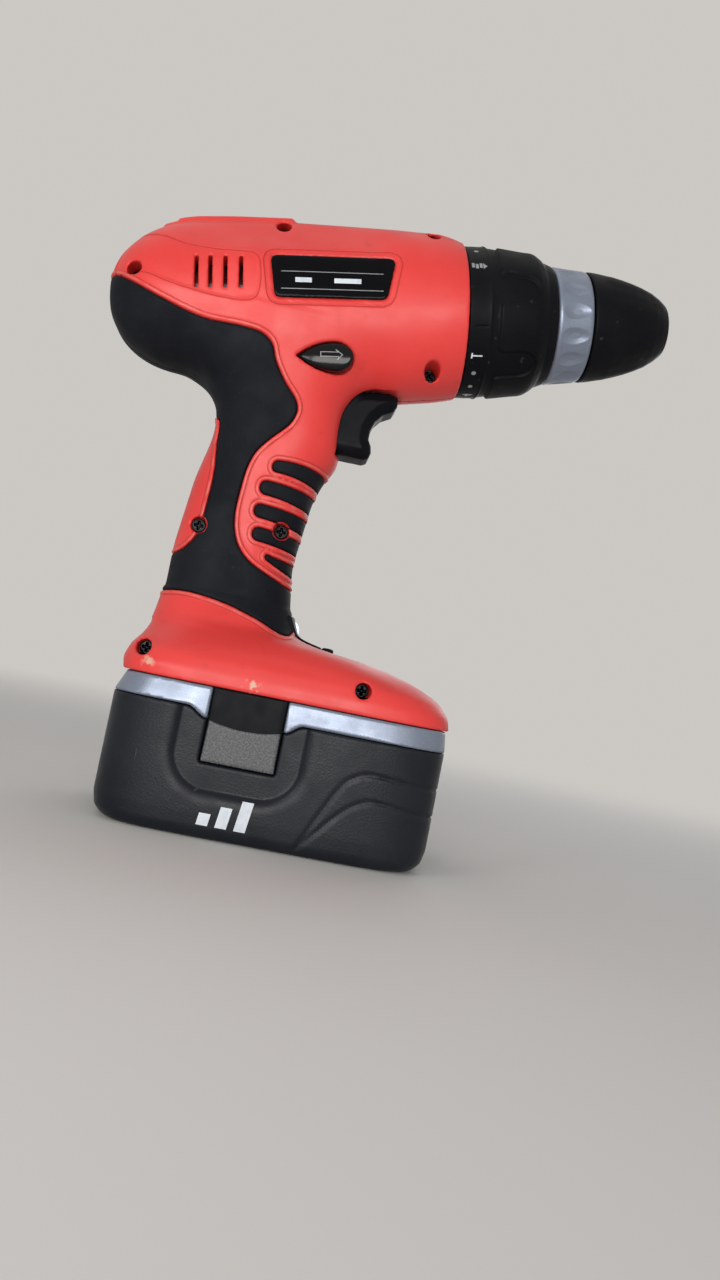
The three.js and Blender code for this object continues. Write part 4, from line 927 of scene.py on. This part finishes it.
def build_housing():
    for name, side in (("right", -1), ("left", 1)):
        right = side < 0
        shell = moulded(
            f"housing_{name}_shell", housing_field(right), (-94, 0, SEAM - 0.5), (60, 40, SEAM + 188),
            0.75, RED, side,
        )
        store(shell, "rubber_edge", rubber_edge, side)
        store(shell, "panel_edge", panel_edge(right), side)
        seat(shell, "housing", f"housing_{name}")
        for node, line, holes, low, high, step in (
            ("overmould", lambda x, y, z: RUBBER_LINE(x, z), (0, 4), (-94, 0, 18), (6, 30, 138), 0.7),
            ("finger_pad", stripes, (5,), (-28, 0, 41), (3, 22, 84), 0.5),
        ):
            low, high = np.array([low, high]) + (0, 0, SEAM)
            field = rubber_field(line, right, holes)
            piece = moulded(f"{node}_{name}_rubber", field, low, high, step, RUBBER, side)
            seat(piece, "housing", f"{node}_{name}")


build_housing()

# ---- Label ----


def under_skin(x, z, depth):
    """How far from the middle the skin lies at places of the side plane, less a depth."""
    near, far = np.zeros_like(x), np.full_like(x, 40.0)
    for _ in range(24):
        middle = (near + far) / 2
        outside = skin(x, middle, z) > -depth
        near, far = np.where(outside, near, middle), np.where(outside, middle, far)
    return near


def bar(a0, a1, b0, b1, size=0.8):
    """A rectangle as (points, faces), with faces small enough to follow a curved surface."""
    n, m = (max(1, math.ceil(abs(q - p) / size)) for p, q in ((a0, a1), (b0, b1)))
    points = [(a, b) for a in np.linspace(a0, a1, n + 1) for b in np.linspace(b0, b1, m + 1)]
    faces = [
        (i * (m + 1) + j, (i + 1) * (m + 1) + j, (i + 1) * (m + 1) + j + 1, i * (m + 1) + j + 1)
        for i in range(n) for j in range(m)
    ]
    return np.array(points), faces


def stroke(start, end, half):
    """A thin line between two places, in the same form as a bar."""
    reach = np.subtract(end, start)
    length = np.hypot(*reach)
    points, faces = bar(-half, length + half, -half, half, 0.6)
    turn = np.array([reach, (-reach[1], reach[0])]) / length
    return points @ turn + start, faces


def disc(a, b, radius):
    count = 20
    turn = np.arange(count) * math.tau / count
    points = np.stack([a + radius * np.cos(turn), b + radius * np.sin(turn)], 1)
    return np.vstack([points, [(a, b)]]), [(i, (i + 1) % count, count) for i in range(count)]


def numeral(text, a, b, height):
    """Figures of Blender's own font about a point, turned right by a quarter."""
    curve = bpy.data.curves.new("figures", "FONT")
    curve.body = text
    curve.size = height * 1.4
    curve.align_x, curve.align_y = "CENTER", "CENTER"
    holder = bpy.data.objects.new("figures", curve)
    flat = holder.to_mesh()
    points = np.array([(a + p.co.y, b - p.co.x) for p in flat.vertices])
    faces = [tuple(f.vertices) for f in flat.polygons]
    holder.to_mesh_clear()
    bpy.data.objects.remove(holder)
    bpy.data.curves.remove(curve)
    return points, faces


def printed(name, shapes, place, material):
    """Flat shapes laid on a surface: place turns their two coordinates into (x, y, z)."""
    points, faces = [], []
    for shape_points, shape_faces in shapes:
        start = sum(len(p) for p in points)
        points.append(shape_points)
        faces += [tuple(i + start for i in face) for face in shape_faces]
    a, b = np.vstack(points).T
    mesh = bpy.data.meshes.new(name)
    mesh.from_pydata((np.stack(place(a, b), 1) * MM).tolist(), [], faces)
    mesh.materials.append(material)
    return added(name, mesh)


def build_label():
    def field(x, y, z):
        outer = skin(x, y, z)
        u, v = to_barrel(x, z)
        return blend_max(blend_max(outer + 0.1, LABEL_LINE(u, v), 0.5), -(outer + 0.8), 0.2)

    label = moulded("rating_label_plate", field, (-39, 20, 184), (9, 29, 210), 0.4, LABEL_BLACK, -1)
    seat(label, "housing", "rating_label")

    def on_label(u, v):
        x, z = from_barrel(u, v)
        return x, -under_skin(x, z, 0.06), z

    fields = [bar(-61.3, -55.6, 2.8, 4.5), bar(-47.8, -38.4, 2.8, 4.5)]
    rules = [bar(-66.2, -30.6, 6.5, 6.75), bar(-66.2, -30.6, 0.4, 0.65)]
    seat(printed("label_blank_fields", fields, on_label, WHITE_PRINT), "housing")
    seat(printed("label_rules", rules, on_label, GREY_PRINT), "housing")


# ---- Screws ----


def build_screws():
    for i, (x0, height, depth, size) in enumerate(SCREWS):
        z0 = SEAM + height

        def field(x, y, z, x0=x0, z0=z0, depth=depth, size=size):
            radius = np.hypot(x - x0, z - z0)
            top = -depth + 0.035 * radius ** 2
            head = both(radius - size, top - y, y + depth - 1.8)
            a, b = abs(x - x0), abs(z - z0)
            arms = either(both(a - 0.42, b - 1.7), both(b - 0.42, a - 1.7))
            cross = both(arms + (y + depth) * 0.25, y + depth - 1.1)
            head = blend_max(blend_max(head, -cross, 0.15), radius - size, 0.4)
            return either(head, both(radius - 1.26, 1 - depth - y, y - 7))

        low, high = (x0 - size, -depth, z0 - size), (x0 + size, 7, z0 + size)
        screw = moulded(f"screw_{i + 1}", field, low, high, 0.25, SCREW_BLACK)
        seat(screw, "housing", f"housing_screw_{i + 1}")


# ---- Controls and lamp ----


def build_trigger():
    bottom, top = SEAM + 90.9, SEAM + 117.4

    def field(x, y, z):
        """The lever, whose front is rounded across and whose lower corners are sloped."""
        line = TRIGGER_LINE(x, z)
        side = abs(y) - TRIGGER_HALF
        front = np.maximum(line + 3.6, 0) * ramp(x, 3, 7) * 0.62
        body = blend_max(side + front, line, 1.6)
        return blend_max(body, bottom - z + np.maximum(side + 3.4, 0) * 0.75, 2.2)

    low, high = (-9, -TRIGGER_HALF, bottom), (19, TRIGGER_HALF, top)
    trigger = moulded("trigger_lever", field, low, high, 0.38, SATIN)
    seat(trigger, "trigger", "trigger")


def selector_top(u, v):
    """How far the domed cap of the selector stands from the middle."""
    behind = np.minimum(u - SELECTOR_U - 2, 0) / 11
    return 25.1 - 1.9 * behind ** 2 - 1.1 * ((v - SELECTOR_V) / 5) ** 2


def build_selector():
    def field(x, y, z):
        u, v = to_barrel(x, z)
        depth = abs(y)
        cap = blend_max(SELECTOR_LINE(u, v), depth - selector_top(u, v), 1.2)
        return either(both(cap, 21 - depth), both(selector_bar(u, v), depth - 24))

    x0, z0 = from_barrel(SELECTOR_U, SELECTOR_V)
    low, high = (x0 - 11, -25.2, z0 - 7.6), (x0 + 11, 25.2, z0 + 7.6)
    selector = moulded("direction_slider", field, low, high, 0.33, GLOSS)
    seat(selector, "direction_selector", "direction_selector")

    arrow = [(-1.6, 1.1), (4.4, 1.1), (3.7, 2.0), (6.0, 0.2), (4.4, -1.5), (4.7, -0.5), (-1.6, -0.5)]
    corners = [(SELECTOR_U + a, SELECTOR_V + b) for a, b in arrow]
    strokes = [stroke(start, end, 0.14) for start, end in zip(corners, corners[1:] + corners[:1])]
    for name, side in (("right", -1), ("left", 1)):
        def on_cap(u, v, side=side):
            x, z = from_barrel(u, v)
            return x, side * (selector_top(u, v) + 0.1), z

        piece = printed(f"selector_arrow_{name}", strokes, on_cap, GREY_PRINT)
        seat(piece, "direction_selector")


def build_speed_selector():
    def field(x, y, z):
        u, v = to_barrel(x, z)
        ribs = 0.9 * both(*(1 - ramp(abs(u + 23 - k), 0.35, 0.75) for k in (-2.2, 0, 2.2)))
        knob = blend_max(block(u, y, v, (-28.5, -6.5, 29.4), (-17.5, 6.5, 99)), v - 30.4 - ribs, 0.6)
        return either(knob, block(u, y, v, (-24.6, -2.5, 26.8), (-21.4, 2.5, 30)))

    x0, z0 = from_barrel(-23, 29)
    knob = moulded("speed_slider", field, (x0 - 7, -6.5, z0 - 4), (x0 + 7, 6.5, z0 + 4.5), 0.35, SATIN)
    seat(knob, "speed_selector", "speed_selector")


def build_lamp():
    tilt = math.radians(40)
    centre_x, centre_z = -3.3, SEAM + 23.9

    def from_axis(x, y, z):
        """Place along the lamp's tilted axis, and distance from it."""
        a, b = x - centre_x, z - centre_z
        along = a * math.cos(tilt) + b * math.sin(tilt)
        return along, np.hypot(b * math.cos(tilt) - a * math.sin(tilt), y)

    def bezel(x, y, z):
        body = block(x, y, z, (-6.5, -8, SEAM + 17.4), (4.6, 8, SEAM + 27.6))
        outer = skin(x, abs(y), z)
        body = blend_max(body, outer - 0.05, 0.7)
        plan = blend_max(both(abs(y) - 8.7, -7.5 - x), x - 9.2, 3)
        plan = both(plan, z - SEAM - 29.5, SEAM + 10 - z)
        plate = blend_max(plan, both(outer - 0.8, -1.6 - outer), 0.5)
        return blend_max(either(body, plate), 2.7 - from_axis(x, y, z)[1], 0.5)

    def lens(x, y, z):
        along, radius = from_axis(x, y, z)
        dome = skin(x, abs(y), z) - 1.5 + 0.12 * radius ** 2
        return blend_max(radius - 2.4, both(dome, -5 - along), 0.4)

    low, high = (-7.5, -8.7, SEAM + 10), (9.2, 8.7, SEAM + 29.5)
    seat(moulded("lamp_frame", bezel, low, high, 0.4, SATIN), "housing", "lamp_bezel")
    low, high = (-9.5, -2.5, SEAM + 20), (2, 2.5, SEAM + 30)
    seat(moulded("lamp_lens", lens, low, high, 0.3, GLOW), "housing", "led_lens")

    def button(x, y, z):
        radius = np.hypot(x - BUTTON_X, y)
        height = z - SEAM
        top = height - 21 + 0.06 * radius ** 2
        cap = blend_max(radius - BUTTON_RADIUS, both(top, 12 - height), 0.8)
        return either(cap, both(radius - 3.8, 12 - height, height - 13.2))

    low, high = (BUTTON_X - 4, -4, SEAM + 12), (BUTTON_X + 4, 4, SEAM + 21)
    piece = moulded("charge_button_cap", button, low, high, 0.3, SATIN)
    seat(piece, "charge_button", "charge_button")


# ---- Springs that the trigger and the latches press ----

# CAD node, body, joint and its travel, axis of the coil and whether its high end is the fixed
# one, radius of the wire and number of turns
SPRINGS = (
    ("trigger_spring", "housing", "trigger_pull", 7, 0, False, 0.5, 3),
    ("latch_spring_right", "battery", "latch_right_press", 2.3, 1, True, 0.45, 2.5),
    ("latch_spring_left", "battery", "latch_left_press", 2.3, 1, False, 0.45, 2.5),
)


def build_springs():
    around, per_turn = 8, 24
    for node, body, joint, travel, axis, high_fixed, wire, turns in SPRINGS:
        low, high = span(node)
        length = high[axis] - low[axis]
        middle = (low + high) / 2
        radius = (high - low)[2] / 2 - wire
        count = round(turns * per_turn)
        turn = np.linspace(0, turns * math.tau, count + 1)[:, None]
        round_wire = (np.arange(around) * math.tau / around)[None, :]
        out = radius + wire * np.cos(round_wire)
        along = (length - 2 * wire) * (turn / turn[-1] - 0.5) + wire * np.sin(round_wire)
        points = np.stack([along, out * np.cos(turn), out * np.sin(turn)], -1).reshape(-1, 3)
        sides = tube_faces(count + 1, around, False)
        start = np.array([(0, 1, 2, 7), (2, 3, 6, 7), (3, 4, 5, 6)])
        faces = np.vstack([sides, start, start[:, ::-1] + count * around])
        piece = mesh_object(f"{node}_coil", np.roll(points, axis, 1) + middle, faces, STEEL)
        seat(piece, body, node)
        anchor, direction = middle.copy(), np.eye(3)[axis]
        anchor[axis] = (high if high_fixed else low)[axis]
        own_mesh(piece)


# ---- Torque collar and chuck ----


def outline_of(corners, step):
    """A closed outline of (u, r) with rounded corners and points no further apart than step."""
    radius = 0.35
    corners = np.array(corners, float)
    points = []
    for before, corner, after in zip(np.roll(corners, 1, 0), corners, np.roll(corners, -1, 0)):
        a, b = before - corner, after - corner
        reach_a, reach_b = (min(radius, 0.45 * np.linalg.norm(s)) for s in (a, b))
        start, end = corner + a / np.linalg.norm(a) * reach_a, corner + b / np.linalg.norm(b) * reach_b
        points += [(1 - t) ** 2 * start + 2 * t * (1 - t) * corner + t * t * end for t in (0, 0.5, 1)]
    dense = []
    for a, b in zip(points, points[1:] + points[:1]):
        count = max(1, math.ceil(np.linalg.norm(b - a) / step))
        dense += [a + (b - a) * i / count for i in range(count)]
    return np.array(dense)


def turned(name, corners, relief, material, step, around):
    """A ring about the barrel's axis. Relief of (u, angle) is added to the radius outside."""
    profile = outline_of(corners, step)
    u, radius = profile[:, :1], profile[:, 1:]
    angle = (np.arange(around) * math.tau / around)[None, :]
    outside = np.roll(u, -1, 0) - np.roll(u, 1, 0) > 1e-6
    radius = radius + np.where(outside, relief(u, angle), 0)
    x, z = from_barrel(u, radius * -np.sin(angle))
    vertices = np.stack([x, radius * -np.cos(angle), z], -1).reshape(-1, 3)
    faces = tube_faces(len(profile), around, True)[:, ::-1]
    return mesh_object(name, vertices, faces, material)


def wrapped(angle, count, phase):
    """Angle from the middle of the nearest of count equal sectors."""
    pitch = math.tau / count
    return (angle - phase + pitch / 2) % pitch - pitch / 2


def on_barrel(radius):
    """Places (u, arc length round the right side, downwards) on a cylinder about the axis."""
    def place(u, arc):
        angle = arc / radius
        x, z = from_barrel(u, -radius * np.sin(angle))
        return x, -radius * np.cos(angle), z
    return place


COLLAR_PADS, COLLAR_TURN = 6, math.radians(21)


def build_collar():
    def relief(u, angle):
        """Pads with a rounded back and a tongue between each two, a bead and a tick."""
        half, rounding, mean_radius = 8.2, 1.8, 26
        arc = abs(wrapped(angle, COLLAR_PADS, COLLAR_TURN)) * mean_radius
        pad_edge = rounded_corner(arc - half + rounding, 11.6 + rounding - u) - rounding
        sector = math.pi / COLLAR_PADS * mean_radius
        middle, valley = sector - half, sector - arc
        tongue = np.hypot(valley / middle, np.maximum(u - 20.5, 0) / 6) - 1
        raised = either(pad_edge, np.where(u > 20.5, -tongue * middle, 9))
        pad = 1.1 * (1 - ramp(raised, -0.3, 0.5)) * (1 - ramp(u, 26, 30))
        bead = 0.35 * (1 - ramp(abs(u - 7.9), 0.25, 0.6))
        tick = 0.3 * (1 - ramp(abs(wrapped(angle, 1, COLLAR_TURN)) * 27, 0.15, 0.4))
        return pad + bead - tick * (1 - ramp(u, 6.4, 7.2)) * ramp(u, 2.6, 3)

    collar = turned("torque_collar_grip", [
        (0.3, 22.6), (0.3, 27.3), (7.4, 27.3), (9.5, 26.9), (24.5, 25.0), (29, 23.9), (30.2, 22.9),
        (33.5, 21.7), (33.5, 14.3), (27, 14.3), (27, 20.6), (24.5, 23.1),
    ], relief, CHUCK, 0.4, 540)
    seat(collar, "torque_collar", "torque_collar")

    radius = 27.4
    row, height = 3.9, 3.9
    first, pitch, drill = (radius * math.radians(turn) for turn in (42.9, 15.04, -26.5))
    white, grey = [], []
    for i in range(19):
        arc = first + i * pitch
        if i % 3 == 0 and i < 18:
            white.append(numeral(str(i + 1), row, arc, height))
        else:
            grey.append(disc(row, arc, 0.85))
    white.append(bar(1.9, 2.45, first - 1.05, first + 1.05))
    for start, low, high in ((1.2, -1.3, 0.9), (2.6, -0.9, 1.3), (4.0, -1.3, 0.9)):
        grey.append(bar(start, start + 1, drill + low, drill + high))
    tip = [(5.3, drill - 1.4), (6.8, drill), (5.3, drill + 1.4)]
    grey.append((np.array(tip), [(0, 1, 2)]))
    seat(printed("collar_numbers", white, on_barrel(radius), WHITE_PRINT), "torque_collar")
    seat(printed("collar_dots", grey, on_barrel(radius), GREY_PRINT), "torque_collar")


def build_chuck():
    def dimples(u, angle):
        arc = wrapped(angle, 15, math.radians(3.3)) * 21
        depth = 1 - np.hypot((u - 41) / 5.3, arc / (2.9 - 0.12 * (u - 41)))
        return -0.75 * np.clip(depth * 1.6, 0, 1) ** 0.8 * (1.25 - 0.05 * (u - 36))

    ring = turned("chuck_silver_ring", [
        (34, 17.3), (34, 20.9), (34.8, 21.5), (46.4, 20.3), (47.4, 19.8), (47.4, 17.3),
    ], dimples, SILVER, 0.35, 600)
    seat(ring, "spindle", "chuck_ring")

    def flutes(u, angle):
        arc = abs(wrapped(angle, 8, math.radians(20))) / (math.pi / 8)
        along = ramp(u, 51, 57) * (1 - ramp(u, 72, 77))
        return -0.32 * along * (1 - ramp(arc, 0.25, 0.9))

    sleeve = turned("chuck_front_sleeve", [
        (48, 13.5), (48, 19.9), (48.5, 20.2), (50, 20.05), (57, 19.3), (61, 18.35), (65, 17.2), (69, 15.8),
        (73, 14.1), (76.5, 11.9), (78.4, 10.4), (79.4, 9.5), (79.4, 8.6), (77.9, 8.6), (77.9, 9.5),
        (76.5, 10.3), (73.5, 11.7), (69.5, 13.1), (63.5, 14.6), (60.3, 16), (60.3, 17.3), (49, 18.2),
        (49, 13.5),
    ], flutes, CHUCK, 0.5, 420)
    seat(sleeve, "chuck_sleeve", "front_sleeve")

    jaw_turns = [math.pi / 2 + i * math.tau / 3 for i in range(3)]
    tip_u, tip_out, back_u, tilt = 74.5, 5.9, 49.5, math.radians(18)
    half_wedge = math.pi / 3

    def jaw_frame(u, y, v, turn):
        """Place along a jaw's rod, distance from it, and places out from and across the barrel."""
        out = y * math.cos(turn) + v * math.sin(turn)
        across = v * math.cos(turn) - y * math.sin(turn)
        a, b = u - tip_u, out - tip_out
        off = a * math.sin(tilt) + b * math.cos(tilt)
        return a * math.cos(tilt) - b * math.sin(tilt), np.hypot(off, across), out, across

    core = Table([
        (34, 17), (47, 17), (47.3, 13.2), (63.5, 13.2), (69.5, 12.8), (73.5, 11.4), (76.5, 10), (77.6, 9.2),
    ], 0.2, 0.1)

    def body(x, y, z):
        u, v = to_barrel(x, z)
        radius = np.hypot(y, v)
        length = both(34 - u, u - 77.6, -1)
        solid = blend_max((radius - core(u)[0]) * 0.9, length, 0.6)
        solid = blend_max(solid, -both(radius - 5.9, 50.5 - u), 0.5)
        solid = both(solid, -both(radius - 6.3, u - 48))
        for turn in jaw_turns:
            along, off, _, _ = jaw_frame(u, y, v, turn)
            solid = blend_max(solid, -both(off - 3.4, -24 - along), 0.4)
        return solid

    low, high = (62, -17.2, 188), (116, 17.2, 236)
    seat(moulded("chuck_core", body, low, high, 0.5, STEEL), "spindle", "chuck_body")

    for i, turn in enumerate(jaw_turns):
        def rod(x, y, z, turn=turn):
            u, v = to_barrel(x, z)
            _, off, out, across = jaw_frame(u, y, v, turn)
            wedge = abs(across) * math.cos(half_wedge) - (out - 4.8) * math.sin(half_wedge)
            teeth = 0.18 * abs((u / 1.1) % 1 - 0.5) * 2
            return blend_max(both(off - 3.1, u - tip_u, back_u - u, wedge), 5 + teeth - out, 0.2)

        u = np.array([back_u, tip_u])
        out = tip_out + (tip_u - u) * math.tan(tilt)
        x, z = from_barrel(u, out * math.sin(turn))
        ends = np.stack([x, out * math.cos(turn), z])
        jaw = f"jaw_{i + 1}"
        piece = moulded(f"{jaw}_rod", rod, ends.min(1) - 3.6, ends.max(1) + 3.6, 0.3, STEEL)
        seat(piece, jaw, jaw)


# ---- Battery pack ----

# height, half length, half width and shift forward of the pack's oval
PACK = Table([
    (0, 52.5, 37.6, 0), (1, 54.8, 38.9, 0), (3.4, 57, 39.8, 0), (8, 58, 40, 0), (42.3, 58, 40, 0),
    (49.2, 56.1, 39.1, 1),
], 0.5, 0.1)
LATCH_LOW, LATCH_HIGH = span("latch_right")
LATCH_BACK, LATCH_FRONT, LATCH_BOTTOM = LATCH_LOW[0], LATCH_HIGH[0], LATCH_LOW[2]
LATCH_FLOOR = 34.1  # how far from the middle the latches' windows end
# along the pack and up it, for two grooves on each side
GROOVES = (
    [(12, 2.4), (22.4, 24), (27.2, 29), (32.7, 30.7), (45, 30), (60.7, 28.6)],
    [(12.7, 2.9), (24, 16.1), (30.5, 21), (36.1, 22.1), (46, 21), (60.7, 19.2)],
)


def pack_norm(x, y, z):
    end, side, shift = PACK(z)
    return ((abs(x - shift) / end) ** 6 + (abs(y) / side) ** 6) ** (1 / 6)


def band_bottom(x):
    """Height of the silver band's lower edge, which dips on both sides of the latch."""
    dip = ramp(x, LATCH_BACK - 7.5, LATCH_BACK - 0.5) * (1 - ramp(x, LATCH_FRONT + 0.5, LATCH_FRONT + 6.5))
    return CASE_HEIGHT + 0.15 - 3.2 * dip


def groove_distance(x, z):
    nearest = np.full(np.shape(x), 1e4)
    for points in GROOVES:
        path = open_curve(points)
        for start, end in zip(path, path[1:]):
            nearest = np.minimum(nearest, segment_square(x, z, start, end))
    return np.sqrt(nearest)


def open_curve(points):
    """An open curve through the points."""
    steps = 5
    points = np.array(points, float)
    ends = [2 * points[0] - points[1], *points, 2 * points[-1] - points[-2]]
    curve = []
    for p in zip(ends, ends[1:], ends[2:], ends[3:]):
        for t in np.linspace(0, 1, steps, endpoint=False):
            square = (2 * p[0] - 5 * p[1] + 4 * p[2] - p[3]) * t ** 2
            cube = (3 * p[1] - p[0] - 3 * p[2] + p[3]) * t ** 3
            curve.append(0.5 * (2 * p[1] + (p[2] - p[0]) * t + square + cube))
    return [*curve, points[-1]]


def latch_window(x, y, z):
    low = (LATCH_BACK - GAP, LATCH_FLOOR, LATCH_BOTTOM - GAP)
    return block(x, y, z, low, (LATCH_FRONT + GAP, 60, 60))


def build_battery():
    middle = (LATCH_BACK + LATCH_FRONT) / 2
    half_length, half_width = PACK_LENGTH / 2, PACK_WIDTH / 2

    def scoop(x, y, z):
        """The U-shaped hollow round the latch, deepest in its middle."""
        wide, low = np.maximum(abs(x - middle + 0.4) - 8.4, 0), np.maximum(28 - z, 0)
        return both((np.hypot(wide, low) - 12) * 0.6, half_width - 1.5 - y)

    def case(x, y, z):
        side = abs(y)
        hull = blend_max(surface_distance(pack_norm, x, y, z), -z, 0.8)
        hull = blend_max(hull, -scoop(x, side, z), 3.2)
        hull += 0.55 * (1 - ramp(groove_distance(x, z), 0.15, 0.75))
        hull = blend_max(hull, z - band_bottom(x) + GAP, 0.5)
        return blend_max(hull, -latch_window(x, side, z), 0.5)

    low, high = (-half_length, -half_width, 0), (half_length, half_width, CASE_HEIGHT)
    piece = moulded("battery_case_shell", case, low, high, 0.8, BATTERY)
    seat(piece, "battery", "battery_case")

    def cover(x, y, z):
        side = abs(y)
        oval = surface_distance(pack_norm, x, y, z)
        hull = blend_max(oval, both(band_bottom(x) - z, z - PACK_TOP), 0.35)
        tower = ((abs(x + 30) / 13.6) ** 4.5 + (side / 13) ** 4.5) ** (1 / 4.5)
        tower = blend_max((tower - 1) * 12, both(z - PACK_TOP - 45.8, PACK_TOP - 4 - z), 1.5)
        hull = blend_min(hull, tower, 1)
        hull = blend_max(hull, -both(oval + 2.4, z - PACK_TOP + 2.2), 0.4)
        return blend_max(hull, -latch_window(x, side, z), 0.3)

    low, high = (-half_length, -half_width, 38), (half_length, half_width, PACK_TOP + 46)
    piece = moulded("battery_band", cover, low, high, 0.75, SILVER)
    seat(piece, "battery", "battery_cover")

    latch_half, latch_inside, pad_face = 12.4, 37, 39.5

    def tongue(x, y, z):
        body = block(x, y, z, (LATCH_BACK, latch_inside, LATCH_BOTTOM), (LATCH_FRONT, 39.0, PACK_TOP))
        lower = 0.3 * ramp(abs(x - middle), 10.5, latch_half)
        return blend_max(body, y - 39.0 + lower, 0.5)

    def pad(x, y, z):
        """The grained plate of a latch, whose upper edge sags in the middle."""
        body = block(x, y, z, (LATCH_BACK, 38.2, LATCH_BOTTOM), (LATCH_FRONT, pad_face, 41))
        corner = both(abs(x - middle) - latch_half + 0.03 * (z - LATCH_BOTTOM), LATCH_BOTTOM - z)
        edge = 38.6 - 1.7 * (1 - ((x - middle) / latch_half) ** 2)
        body = blend_max(blend_max(body, corner, 1.2), z - edge, 0.4)
        return blend_max(body, y - pad_face, 0.7)

    low, high = (LATCH_BACK, latch_inside, LATCH_BOTTOM), (LATCH_FRONT, 39.6, PACK_TOP)
    for latch, side in (("latch_right", -1), ("latch_left", 1)):
        piece = moulded(f"{latch}_tongue", tongue, low, high, 0.4, SATIN, side)
        seat(piece, latch, latch)
        piece = moulded(f"{latch}_pad", pad, low, high, 0.35, LATCH_GRAIN, side)
        seat(piece, latch)

    def on_pack(x, z):
        end, wide, shift = PACK(z)
        return x, -(wide * (1 - (abs(x - shift) / end) ** 6) ** (1 / 6) + 0.06), z

    marks = []
    for place, top in ((-18.5, 8.6), (-12.3, 11.6), (-6.1, 14.6)):
        points, faces = bar(place - 1.9, place + 1.9, 4.6, top)
        points[:, 0] += (points[:, 1] - 9.8) * 0.12
        marks.append((points, faces))
    seat(printed("battery_level_bars", marks, on_pack, WHITE_PRINT), "battery")


# ---- Pieces that are kept from the frame ----

PLANETS = [f"planet_gear_{stage}_{i}" for stage in (1, 2) for i in (1, 2, 3)]
FINISHES = {
    STEEL: ["motor_can", "ring_gear_1", "ring_gear_2", "spindle", "spindle_bearing", "clutch_spring",
            "motor_pinion", "shift_fork", *PLANETS],
    DARK_STEEL: ["planet_carrier_1", "chuck_screw", "chuck_nut"],
    COPPER: ["armature"],
    NYLON: ["gearbox_case", "cooling_fan"],
    CELL: ["cell_pack"],
    SATIN: ["switch_body", "contact_block", "motor_end_cap"],
}


def finish_kept_nodes():
    for material, names in FINISHES.items():
        for name in names:
            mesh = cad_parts[name].data
            mesh.materials.clear()
            mesh.materials.append(material)


build_label()
build_screws()
build_trigger()
build_selector()
build_speed_selector()
build_lamp()
build_springs()
build_collar()
build_chuck()
build_battery()
finish_kept_nodes()
